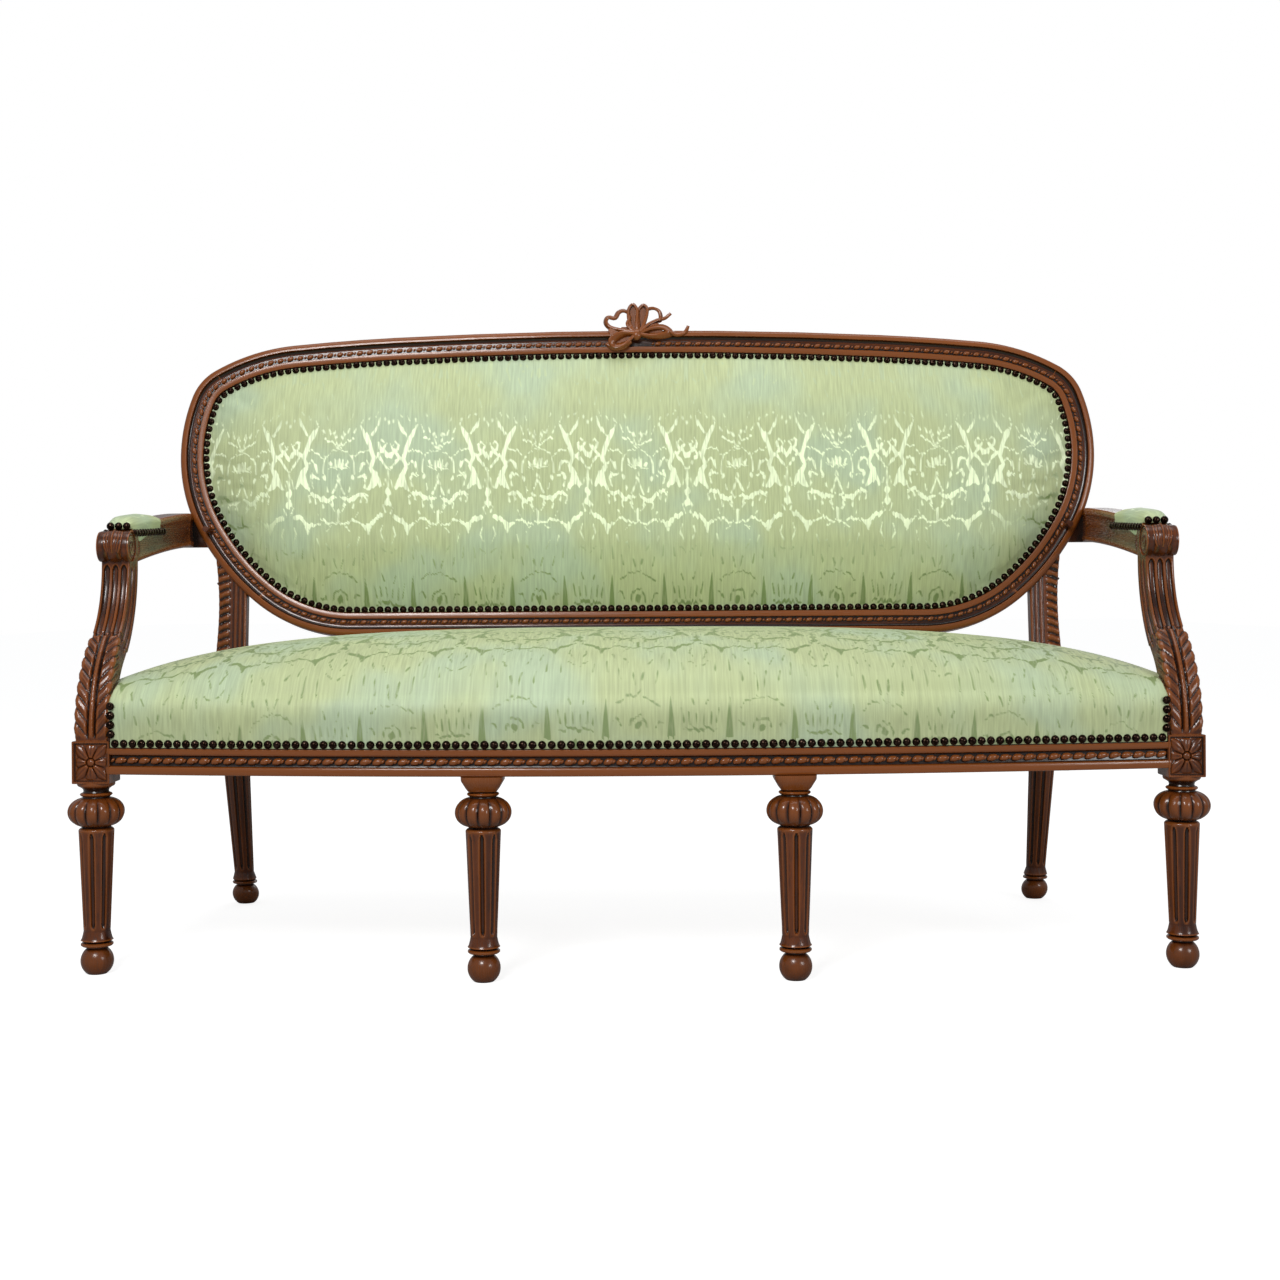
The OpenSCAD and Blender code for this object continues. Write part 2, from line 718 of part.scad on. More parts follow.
// Seat plan: u runs across and v from front to back, both from -1 to 1, with an outset
// from the rails' fabric band
seat_back = seat_depth + 12;
function seat_half(y, out) = side_at(y) - fabric_in + out;
function seat_front(u, out, y) = bow_at(u * seat_half(y, out), bow_r + rail_t / 2 - fabric_in + out);
function seat_xy(u, v, out) = let (
  y0 = seat_front(u, out, seat_front(u, out, 0)),
  y = y0 + (seat_back + out - y0) * (v + 1) / 2) [u * seat_half(y, out), y];
function dome(u, v) = pow(1 - pow(abs(u), 3), 0.5) * pow(1 - pow(abs(v), 2.5), 0.6);
function spread(i, n) = sin(90 * i / n);

// A closed skin: an upper grid, rings of [outset, height, height at the rear], a lower grid
function skin_grid(nu, nv, g) = [for (j = [-nv:nv], i = [-nu:nu])
  let (u = spread(i, nu), v = spread(j, nv)) concat(seat_xy(u, v, g[0]), [g[1] + (g[2] - g[1]) * dome(u, v)])];
function skin_edge(nu, nv) = concat([for (i = [-nu:nu - 1]) [i, -nv]], [for (j = [-nv:nv - 1]) [nu, j]],
  [for (i = [nu:-1:-nu + 1]) [i, nv]], [for (j = [nv:-1:-nv + 1]) [-nu, j]]);
function skin_ring(nu, nv, r) = [for (e = skin_edge(nu, nv))
  concat(seat_xy(spread(e[0], nu), spread(e[1], nv), r[0]), [e[1] == nv ? r[2] : r[1]])];
function skin_quads(nu, nv, base, up) = [for (j = [0:2 * nv - 1], i = [0:2 * nu - 1])
  let (w = 2 * nu + 1, a = base + j * w + i, q = [a, a + 1, a + 1 + w, a + w])
  each up ? [[q[0], q[2], q[1]], [q[0], q[3], q[2]]] : [[q[0], q[1], q[2]], [q[0], q[2], q[3]]]];

module seat_skin(nu, nv, upper, rings, lower) {
  w = 2 * nu + 1;
  grid_n = w * (2 * nv + 1);
  edge = [for (e = skin_edge(nu, nv)) (e[1] + nv) * w + e[0] + nu];
  ring_n = len(edge);
  base = grid_n + len(rings) * ring_n;
  chain = concat([edge], [for (r = [0:len(rings) - 1]) [for (k = [0:ring_n - 1]) grid_n + r * ring_n + k]],
    [[for (e = edge) base + e]]);
  polyhedron(points = concat(skin_grid(nu, nv, upper), [for (r = rings) each skin_ring(nu, nv, r)],
    skin_grid(nu, nv, lower)),
    faces = concat(skin_quads(nu, nv, 0, true),
      [for (c = [0:len(chain) - 2]) each wall(chain[c], chain[c + 1])],
      skin_quads(nu, nv, base, false)), convexity = 6);
}

// Room for the front blocks, the arm posts' feet and the back posts, with a clearance
module post_room(clear) {
  y = block_w / 2 + clear;
  r = ogee_r - post_t / 2 - clear;
  curve = [for (a = [0:8:ogee_a]) [ogee_r - r * cos(a), block_top + r * sin(a)]];
  end = curve[len(curve) - 1];
  both_sides() {
    translate([block_in - clear, 0, 0]) rotate([90, 0, 90]) linear_extrude(far) polygon(concat(
      [[-far, 0], [y, 0]], [for (p = curve) [max(p[0], y), p[1]]], [[end[0], far], [-far, far]]));
    translate([rear_in - clear, rear_face - 4 - clear, 0]) cube([far, far, far]);
  }
}

skirt_z = rail_z + fabric_z + 0.5;
burlap_t = 1.4;
burlap_edge = rail_top + soft;
burlap_crown = rail_top + 38;

module seat_cover() {
  o = soft + cover_t;
  color(damask) in_place() difference() {
    seat_skin(12, 6, [-8, edge_z, crown_z],
      [[3, edge_z - 8, edge_z - 8], [8, edge_z - 24, edge_z - 18], [o, skirt_z + 16, rail_top + 2],
        [o, skirt_z, rail_top + soft], [soft, skirt_z, rail_top + soft],
        [soft, skirt_z + 16, rail_top + 1.8], [5, edge_z - 24, edge_z - 18.4]],
      [-11, edge_z - cover_t, crown_z - cover_t]);
    post_room(1);
  }
}

module seat_stuffing() {
  t = cover_t + soft;
  color(hair) in_place() difference() {
    seat_skin(10, 5, [-12, edge_z - t, crown_z - t - 0.8],
      [[0, edge_z - 14, edge_z - 14], [0, rail_top + 4, rail_top + 4]],
      [-5, burlap_edge + burlap_t + soft, burlap_crown + burlap_t + soft]);
    post_room(3);
  }
}

module seat_burlap() {
  color(linen) in_place() difference() {
    seat_skin(8, 4, [-14, burlap_edge + burlap_t, burlap_crown + burlap_t],
      [[-13.9, rail_top + 1, rail_top + 1]], [-14, burlap_edge, burlap_crown]);
    post_room(2);
  }
}

// A spring is one wire along a waisted helix, with rings of points square to its path
function coil_rise(f) = f - 0.95 * sin(full_turn * f) / (2 * PI);
function spring_point(f, h, a) = let (r = spring_r - spring_waist * sin(180 * f) + wire_r * cos(a),
  t = f * spring_turns * full_turn) [r * cos(t), r * sin(t), wire_r * (1 + sin(a)) + (h - 2 * wire_r) * coil_rise(f)];

module spring(h) {
  n = spring_turns * spring_steps;
  rings = [for (k = [0:n]) [for (a = [0:90:270]) 4 * k + a / 90]];
  polyhedron(points = [for (k = [0:n], a = [0:90:270]) spring_point(k / n, h, a)],
    faces = concat([[0, 1, 2], [0, 2, 3]], [for (k = [0:n - 1]) each wall(rings[k + 1], rings[k])],
      [[rings[n][2], rings[n][1], rings[n][0]], [rings[n][3], rings[n][2], rings[n][0]]]), convexity = 8);
}

module seat_springs() {
  color(steel) in_place() for (u = spring_cols, side = [-1, 1], v = spring_rows) {
    p = [seat_xy(u * side, 0, 0)[0], seat_xy(u * side, v, 0)[1]];
    top = burlap_edge + (burlap_crown - burlap_edge) * dome(u + spring_r / corner_x, abs(v) + 0.14);
    translate([p[0], p[1], rail_z + fit]) spring(top - rail_z - 3);
  }
}

// Seat webbing under the rails: straps from front to back, then straps from side to side
module seat_webbing_cross() {
  color(jute) in_place() for (u = spring_cols, side = [-1, 1]) {
    x = seat_xy(u * side, 0, 0)[0];
    y = bow_at(x, bow_r);
    translate([x - web_w / 2, y, rail_z - web_t]) cube([web_w, seat_depth + rail_t / 4 - y, web_t]);
  }
}

module seat_webbing_long() {
  for (v = [spring_rows[0], 0, spring_rows[1]]) color(jute) in_place() {
    y = seat_xy(0, v, 0)[1];
    h = side_at(y + web_w / 2) - rail_t / 2;
    translate([-h, y - web_w / 2, rail_z - 2 * web_t - 0.1]) cube([2 * h, web_w, web_t]);
  }
}

// Back upholstery: rings of [inset, share of the way out, height], closed by a middle point
back_mid = [0, back_h / 2];
function pad_ring(n, r) = [for (p = outline(n, r[0]))
  let (q = back_mid + r[1] * (p - back_mid)) [q[0], q[1], r[2]]];
function swell(t) = pow(1 - pow(t, 3), 0.6);

module back_skin(n, upper, lower) {
  rings = concat(upper, [for (i = [len(lower) - 1:-1:0]) lower[i]]);
  m = len(rings);
  a = m * n;
  polyhedron(points = concat([for (r = rings) each pad_ring(n, r)], [[0, back_mid[1], upper[0][2]],
    [0, back_mid[1], lower[0][2]]]),
    faces = concat([for (k = [0:n - 1]) [a, k, (k + 1) % n]],
      [for (i = [0:m - 2]) each wall(row(n, i + 1), row(n, i))],
      [for (k = [0:n - 1]) [a + 1, (m - 1) * n + (k + 1) % n, (m - 1) * n + k]]), convexity = 4);
}

pad_u = 57;
pad_shares = [0.2, 0.45, 0.68, 0.84, 0.93, 0.98];
function pad_rings(drop, inset) = [for (t = pad_shares) [pad_u + inset, t, back_crown * swell(t) - drop]];

module back_cover() {
  low = soft - rebate_z;
  flange = nail_u + nail_d / 2 + 1;
  color(damask) in_place() at_back() back_skin(56,
    concat(pad_rings(0, 0), [[pad_u, 1, 1], [flange, 1, low + cover_t], [cover_u, 1, low + cover_t]]),
    concat(pad_rings(cover_t, 0), [[pad_u, 1, 1 - cover_t], [flange + 1, 1, low], [cover_u, 1, low]]));
}

module back_stuffing() {
  t = cover_t + soft;
  floor_z = 2 * web_t + 0.3 - rebate_z + soft;
  color(hair) in_place() at_back() back_skin(48,
    concat(pad_rings(t + 0.3, 2), [[pad_u + 2, 1, 1 - t - 0.3]]),
    [[pad_u, 0.3, floor_z], [pad_u + 2, 1, floor_z]]);
}

module back_straps(upright) {
  gap = 2.2 * web_w;
  run = upright ? back_w - 4 * web_u : back_h - 2.4 * web_u;
  count = floor(run / gap / 2);
  intersection() {
    polygon(outline(72, web_u));
    for (i = [-count:count]) {
      if (upright) translate([i * gap - web_w / 2, 0]) square([web_w, back_h]);
      else translate([-back_w / 2, back_h / 2 + i * gap - web_w / 2]) square([back_w, web_w]);
    }
  }
}

module back_webbing() {
  color(jute) in_place() at_back() translate([0, 0, 0.1 - rebate_z]) {
    linear_extrude(web_t) back_straps(false);
    translate([0, 0, web_t + 0.1]) linear_extrude(web_t) back_straps(true);
  }
}

outside_u = 14;
outside_t = 1.8;

module outside_back() {
  color(damask) in_place() at_back() translate([0, 0, -member_t - outside_t]) linear_extrude(outside_t)
    polygon(outline(96, outside_u));
}

// Arm pad plan at an outset: straight sides with ten points each, and rounded ends
pad_corner = 12;
pad_run = pad_l / 2 - pad_corner - 6;
function side_run(i) = i == 0 ? -pad_run - 6 : i == 9 ? pad_run + 6 : pad_run * (2 * (i - 1) / 7 - 1);
function pad_arc(from, out, x, y) = [for (a = [from:30:from + 60])
  [x * (arm_w / 2 - pad_in + soft - pad_corner) + (pad_corner + out) * cos(a),
    y * (pad_run + 6) + (pad_corner + out) * sin(a)]];
function pad_plan(out) = let (r = arm_w / 2 - pad_in + soft + out) concat([for (i = [0:9]) [r, side_run(i)]],
  pad_arc(30, out, 1, 1), pad_arc(90, out, -1, 1), [for (i = [9:-1:0]) [-r, side_run(i)]],
  pad_arc(210, out, -1, -1), pad_arc(270, out, 1, -1));
function pad_side(k) = (k > 0 && k < 9) || (k > 16 && k < 25);

// Its rows, from the crown outwards and down: [outset, height at the sides, at the ends]
module arm_pad(left) {
  rows = [[-8, pad_h - 3, pad_h - 3], [2, pad_h - 10, pad_h - 10], [5, 6, 6], [cover_t, -4, 1.6],
    [cover_t, -pad_skirt, 0.8], [0, -pad_skirt, 0.8], [0, soft, 1.2]];
  m = len(rows);
  n = len(pad_plan(0));
  a = m * n;
  color(damask) in_place() mirrored(left) along_arm() at_pad()
    polyhedron(points = concat([for (r = rows) let (p = pad_plan(r[0])) each
      [for (k = [0:n - 1]) concat(p[k], [pad_side(k) ? r[1] : r[2]])]], [[0, 0, pad_h], [0, 0, soft + 0.4]]),
      faces = concat([for (k = [0:n - 1]) [a, (k + 1) % n, k]],
        [for (i = [0:m - 2]) each wall(row(n, i), row(n, i + 1))],
        [for (k = [0:n - 1]) [a + 1, (m - 1) * n + k, (m - 1) * n + (k + 1) % n]]), convexity = 4);
}

// Nails: a domed head on its base plane
module nail() {
  cylinder(d1 = nail_d, d2 = nail_d * 0.45, h = nail_d / 3, $fn = 16);
}

module seat_nails() {
  gap = 0.2;
  r = bow_r + rail_t / 2 - fabric_in + soft + cover_t + gap;
  span = 2 * asin((block_in - nail_d) / r);
  n = floor(span * PI / 180 * r / nail_pitch);
  run = side_dy / cos(side_turn) - 2 * nail_d;
  m = floor(run / nail_pitch);
  color(bronze) in_place() {
    for (i = [0:n]) translate([0, bow_y, nail_z]) rotate([0, 0, span * (i / n - 0.5)])
      translate([0, -r, 0]) rotate([90, 0, 0]) nail();
    both_sides() translate([outer_front, block_w / 2, nail_z]) rotate([0, 0, side_turn])
      for (i = [0:m]) translate([soft + cover_t - fabric_in + gap, nail_d + run * i / m, 0])
        rotate([0, 90, 0]) nail();
  }
}

module nails_round(inset, pitch) {
  n = floor(2 * half_length(inset) / pitch);
  for (p = outline(n, inset)) translate(p) nail();
}

module back_nails() {
  color(bronze) in_place() at_back() translate([0, 0, soft - rebate_z + cover_t + 0.05])
    nails_round(nail_u + 1.5, nail_pitch);
}

module outside_nails() {
  color(bronze) in_place() at_back() translate([0, 0, -member_t - outside_t]) mirror([0, 0, 1])
    nails_round(outside_u + nail_d / 2 + 1, nail_pitch * 1.5);
}

module arm_nails() {
  run = 2 * pad_run - nail_d;
  n = floor(run / nail_pitch);
  x = arm_w / 2 - pad_in + soft + cover_t + 0.05;
  color(bronze) in_place() both_sides() along_arm() at_pad() both_sides()
    for (i = [0:n]) translate([x, run * (i / n - 0.5), nail_d / 2 - pad_skirt])
      rotate([0, 90, 0]) nail();
}

front_rail();
rear_rail();
side_rail(true);  // side_rail_left
side_rail(false);  // side_rail_right
cross_rail(true);  // cross_rail_left
cross_rail(false);  // cross_rail_right
corner_blocks();
corner_screws();
rail_dowels();
front_leg(true);  // front_leg_left
front_leg(false);  // front_leg_right
inner_leg(true);  // inner_leg_left
inner_leg(false);  // inner_leg_right
rear_leg(true);  // rear_leg_left
rear_leg(false);  // rear_leg_right
arm_post(true);  // arm_post_left
arm_post(false);  // arm_post_right
arm_rail(true);  // arm_rail_left
arm_rail(false);  // arm_rail_right
arm_dowels();
back_top_rail();
back_bottom_rail();
back_stile(true);  // back_stile_left
back_stile(false);  // back_stile_right
back_dowels();
crest_bow();
seat_webbing_long();
seat_webbing_cross();
seat_springs();
seat_burlap();
seat_stuffing();
seat_cover();
back_webbing();
back_stuffing();
back_cover();
outside_back();
arm_pad(true);  // arm_pad_left
arm_pad(false);  // arm_pad_right
seat_nails();
back_nails();
outside_nails();
arm_nails();
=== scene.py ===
"""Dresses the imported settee: carved walnut, nailed silk damask, and a plain pale studio."""
import json
import logging
import math
from collections.abc import Callable, Sequence
from dataclasses import dataclass, field
from enum import Enum

import bmesh
import bpy
import numpy as np
from mathutils import Matrix, Vector


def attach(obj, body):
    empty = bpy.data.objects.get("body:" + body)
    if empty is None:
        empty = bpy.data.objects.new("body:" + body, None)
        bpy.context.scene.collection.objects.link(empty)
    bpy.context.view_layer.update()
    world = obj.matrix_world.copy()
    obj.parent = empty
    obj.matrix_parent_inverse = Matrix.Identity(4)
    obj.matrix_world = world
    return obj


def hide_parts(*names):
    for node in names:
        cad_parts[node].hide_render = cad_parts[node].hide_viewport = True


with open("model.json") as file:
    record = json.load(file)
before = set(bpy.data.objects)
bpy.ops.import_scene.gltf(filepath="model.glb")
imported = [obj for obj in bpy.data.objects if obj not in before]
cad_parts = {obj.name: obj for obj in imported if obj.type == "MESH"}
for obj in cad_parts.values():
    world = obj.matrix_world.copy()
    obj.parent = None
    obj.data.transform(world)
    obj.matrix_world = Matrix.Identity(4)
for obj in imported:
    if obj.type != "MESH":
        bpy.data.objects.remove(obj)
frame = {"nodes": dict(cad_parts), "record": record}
LOG = logging.getLogger("settee")
MM = 0.001
BODY = "root"
Array = np.ndarray
ARM_SIDES = (("left", -1.0), ("right", 1.0))


class Slot(Enum):
    """Material slots of the record that the pieces take their finish from."""

    WALNUT = "walnut"
    DAMASK = "silk_damask"
    NAILS = "bronze_nails"
    JUTE = "jute_webbing"
    BURLAP = "burlap"
    HAIR = "horsehair"
    SPRING = "spring_steel"


class Grain(Enum):
    """How the grain runs in a carved piece: the room's axes along it and across it."""

    UPRIGHT = (2, 0, 1)
    FORWARDS = (1, 0, 2)


# ---------------------------------------------------------------- nodes and finishes


def linear(code: str) -> tuple[float, float, float, float]:
    """Turns an sRGB hex colour into linear RGBA."""
    parts = [int(code[i:i + 2], 16) / 255 for i in (1, 3, 5)]
    return (*[c / 12.92 if c <= 0.04045 else ((c + 0.055) / 1.055) ** 2.4 for c in parts], 1.0)


def add_node(tree: bpy.types.NodeTree, kind: str, inputs: dict | None = None, **settings: object) -> bpy.types.Node:
    """Adds one node with its settings and links.

    Args:
        tree: Node tree that the node goes into.
        kind: Blender's type name of the node.
        inputs: Value or socket for each input, by its name or number.
        **settings: Properties of the node.

    Returns:
        The new node.
    """
    node = tree.nodes.new(kind)
    for key, value in settings.items():
        setattr(node, key, value)
    for key, value in (inputs or {}).items():
        if isinstance(value, bpy.types.NodeSocket):
            tree.links.new(value, node.inputs[key])
        else:
            node.inputs[key].default_value = value
    return node


@dataclass
class Formula:
    """A number in a node tree, so that a pattern can be written as plain arithmetic."""

    tree: bpy.types.NodeTree
    socket: bpy.types.NodeSocket

    def apply(self, operation: str, *others: "Formula | float") -> "Formula":
        """Applies one of the Math node's operations.

        Args:
            operation: Name of the operation, such as "SINE".
            *others: Second and third operand.

        Returns:
            The result.
        """
        values = [o.socket if isinstance(o, Formula) else float(o) for o in (self, *others)]
        node = add_node(self.tree, "ShaderNodeMath", dict(enumerate(values)), operation=operation)
        return Formula(self.tree, node.outputs[0])

    def __add__(self, other: "Formula | float") -> "Formula":
        """Sum."""
        return self.apply("ADD", other)

    def __sub__(self, other: "Formula | float") -> "Formula":
        """Difference."""
        return self.apply("SUBTRACT", other)

    def __mul__(self, other: "Formula | float") -> "Formula":
        """Product."""
        return self.apply("MULTIPLY", other)

    def high(self, other: "Formula | float") -> "Formula":
        """Larger of two."""
        return self.apply("MAXIMUM", other)

    def size(self) -> "Formula":
        """Value without its sign."""
        return self.apply("ABSOLUTE")

    def blend(self, low: float, high: float) -> "Formula":
        """Smooth step from 0 at low to 1 at high."""
        inputs = {0: self.socket, 1: low, 2: high}
        node = add_node(self.tree, "ShaderNodeMapRange", inputs, interpolation_type="SMOOTHSTEP")
        return Formula(self.tree, node.outputs[0])


def new_material(name: str) -> tuple[bpy.types.Material, bpy.types.NodeTree, bpy.types.Node]:
    """Makes a material with its shader wired to the output.

    Args:
        name: Name of the real finish.

    Returns:
        The material, its node tree and its Principled shader.
    """
    material = bpy.data.materials.new(name)
    material.use_nodes = True
    tree = material.node_tree
    tree.nodes.clear()
    shader = add_node(tree, "ShaderNodeBsdfPrincipled")
    add_node(tree, "ShaderNodeOutputMaterial", {"Surface": shader.outputs[0]})
    return material, tree, shader


@dataclass(frozen=True)
class PolishedWalnut:
    """Walnut, carved, stained and hand rubbed with wax: hollows darkened nearly black with painted shade, worn
    golden crests, a sharp gloss.
    """

    name: str = "hand rubbed walnut"
    # Colour of the pores, and of the painted shade in the carving's hollows
    pore_and_hollow_shade: str = "#140702"
    dark: str = "#331304"
    body: str = "#67320f"
    worn: str = "#8a4c1e"
    gloss: float = 0.21
    follows_grain: bool = True
    fibre_mm: float = 1.6

    def build(self) -> bpy.types.Material:
        """Builds the material.

        Returns:
            The material.
        """
        material, tree, shader = new_material(self.name)
        if self.follows_grain:
            place = add_node(tree, "ShaderNodeAttribute", attribute_name="grain").outputs["Vector"]
        else:
            place = add_node(tree, "ShaderNodeTexCoord").outputs["Object"]
        across = 1 / (self.fibre_mm * MM)
        along = add_node(tree, "ShaderNodeMapping", {"Vector": place, "Scale": (across * 0.05, across, across)})
        figure = add_node(tree, "ShaderNodeMapping", {"Vector": place, "Scale": (3.0, 26.0, 26.0)})
        pores = add_node(tree, "ShaderNodeTexNoise",
                         {"Vector": along.outputs[0], "Scale": 1.0, "Detail": 2.0, "Roughness": 0.6})
        bands = add_node(tree, "ShaderNodeTexNoise",
                         {"Vector": figure.outputs[0], "Scale": 1.0, "Detail": 2.0, "Distortion": 1.2})
        wood = add_node(tree, "ShaderNodeValToRGB", {"Fac": bands.outputs["Fac"]})
        stops = wood.color_ramp.elements
        stops[0].position, stops[0].color = 0.30, linear(self.dark)
        stops[1].position, stops[1].color = 0.62, linear(self.body)
        pored = add_node(tree, "ShaderNodeMapRange",
                         {"Value": pores.outputs["Fac"], 1: 0.34, 2: 0.48, 3: 0.6, 4: 0.0})
        grain = add_node(tree, "ShaderNodeMix", {0: pored.outputs[0], 6: wood.outputs[0], 7: linear(self.pore_and_hollow_shade)},
                         data_type="RGBA")
        polish = add_node(tree, "ShaderNodeMapRange",
                          {"Value": pores.outputs["Fac"], 1: 0.3, 2: 0.7, 3: self.gloss + 0.14,
                           4: self.gloss - 0.05})
        colour = grain
        if self.follows_grain:
            wear_and_hollow_shade = add_node(tree, "ShaderNodeAttribute", attribute_name="wear_and_hollow_shade").outputs["Fac"]
            raised = add_node(tree, "ShaderNodeMapRange", {"Value": wear_and_hollow_shade, 1: 0.54, 2: 0.85, 3: 0.0, 4: 0.75})
            # Painted shade: the hollows are darkened towards near black; the lighter crests above are real rubbing
            sunk = add_node(tree, "ShaderNodeMapRange", {"Value": wear_and_hollow_shade, 1: 0.12, 2: 0.46, 3: 0.92, 4: 0.0})
            rubbed = add_node(tree, "ShaderNodeMix",
                              {0: raised.outputs[0], 6: grain.outputs[2], 7: linear(self.worn)}, data_type="RGBA")
            colour = add_node(tree, "ShaderNodeMix",
                              {0: sunk.outputs[0], 6: rubbed.outputs[2], 7: linear(self.pore_and_hollow_shade)}, data_type="RGBA")
        for key, value in {"Base Color": colour.outputs[2], "Roughness": polish.outputs[0]}.items():
            tree.links.new(value, shader.inputs[key])
        shader.inputs["Coat Weight"].default_value = 0.2
        shader.inputs["Coat Roughness"].default_value = 0.1
        shader.inputs["IOR"].default_value = 1.42
        return material


@dataclass(frozen=True)
class OxidisedBronze:
    """Cast and turned bronze nail heads gone nearly black, with rubbed crowns that glint."""

    name: str = "oxidised bronze nail heads"
    dark: str = "#211510"
    rubbed: str = "#56443a"

    def build(self) -> bpy.types.Material:
        """Builds the material.

        Returns:
            The material.
        """
        material, tree, shader = new_material(self.name)
        place = add_node(tree, "ShaderNodeTexCoord").outputs["Object"]
        stain = add_node(tree, "ShaderNodeTexNoise", {"Vector": place, "Scale": 260.0, "Detail": 1.0})
        worn = add_node(tree, "ShaderNodeMapRange",
                        {"Value": stain.outputs["Fac"], 1: 0.45, 2: 0.75, 3: 0.0, 4: 0.6})
        colour = add_node(tree, "ShaderNodeMix", {0: worn.outputs[0], 6: linear(self.dark), 7: linear(self.rubbed)},
                          data_type="RGBA")
        rough = add_node(tree, "ShaderNodeMapRange",
                         {"Value": stain.outputs["Fac"], 1: 0.3, 2: 0.7, 3: 0.08, 4: 0.2})
        tree.links.new(colour.outputs[2], shader.inputs["Base Color"])
        tree.links.new(rough.outputs[0], shader.inputs["Roughness"])
        shader.inputs["Metallic"].default_value = 1.0
        return material


class Axis(Enum):
    """Line that a shape of the damask's figure is mirrored about."""

    WREATH = "wreath"
    LYRE = "lyre"


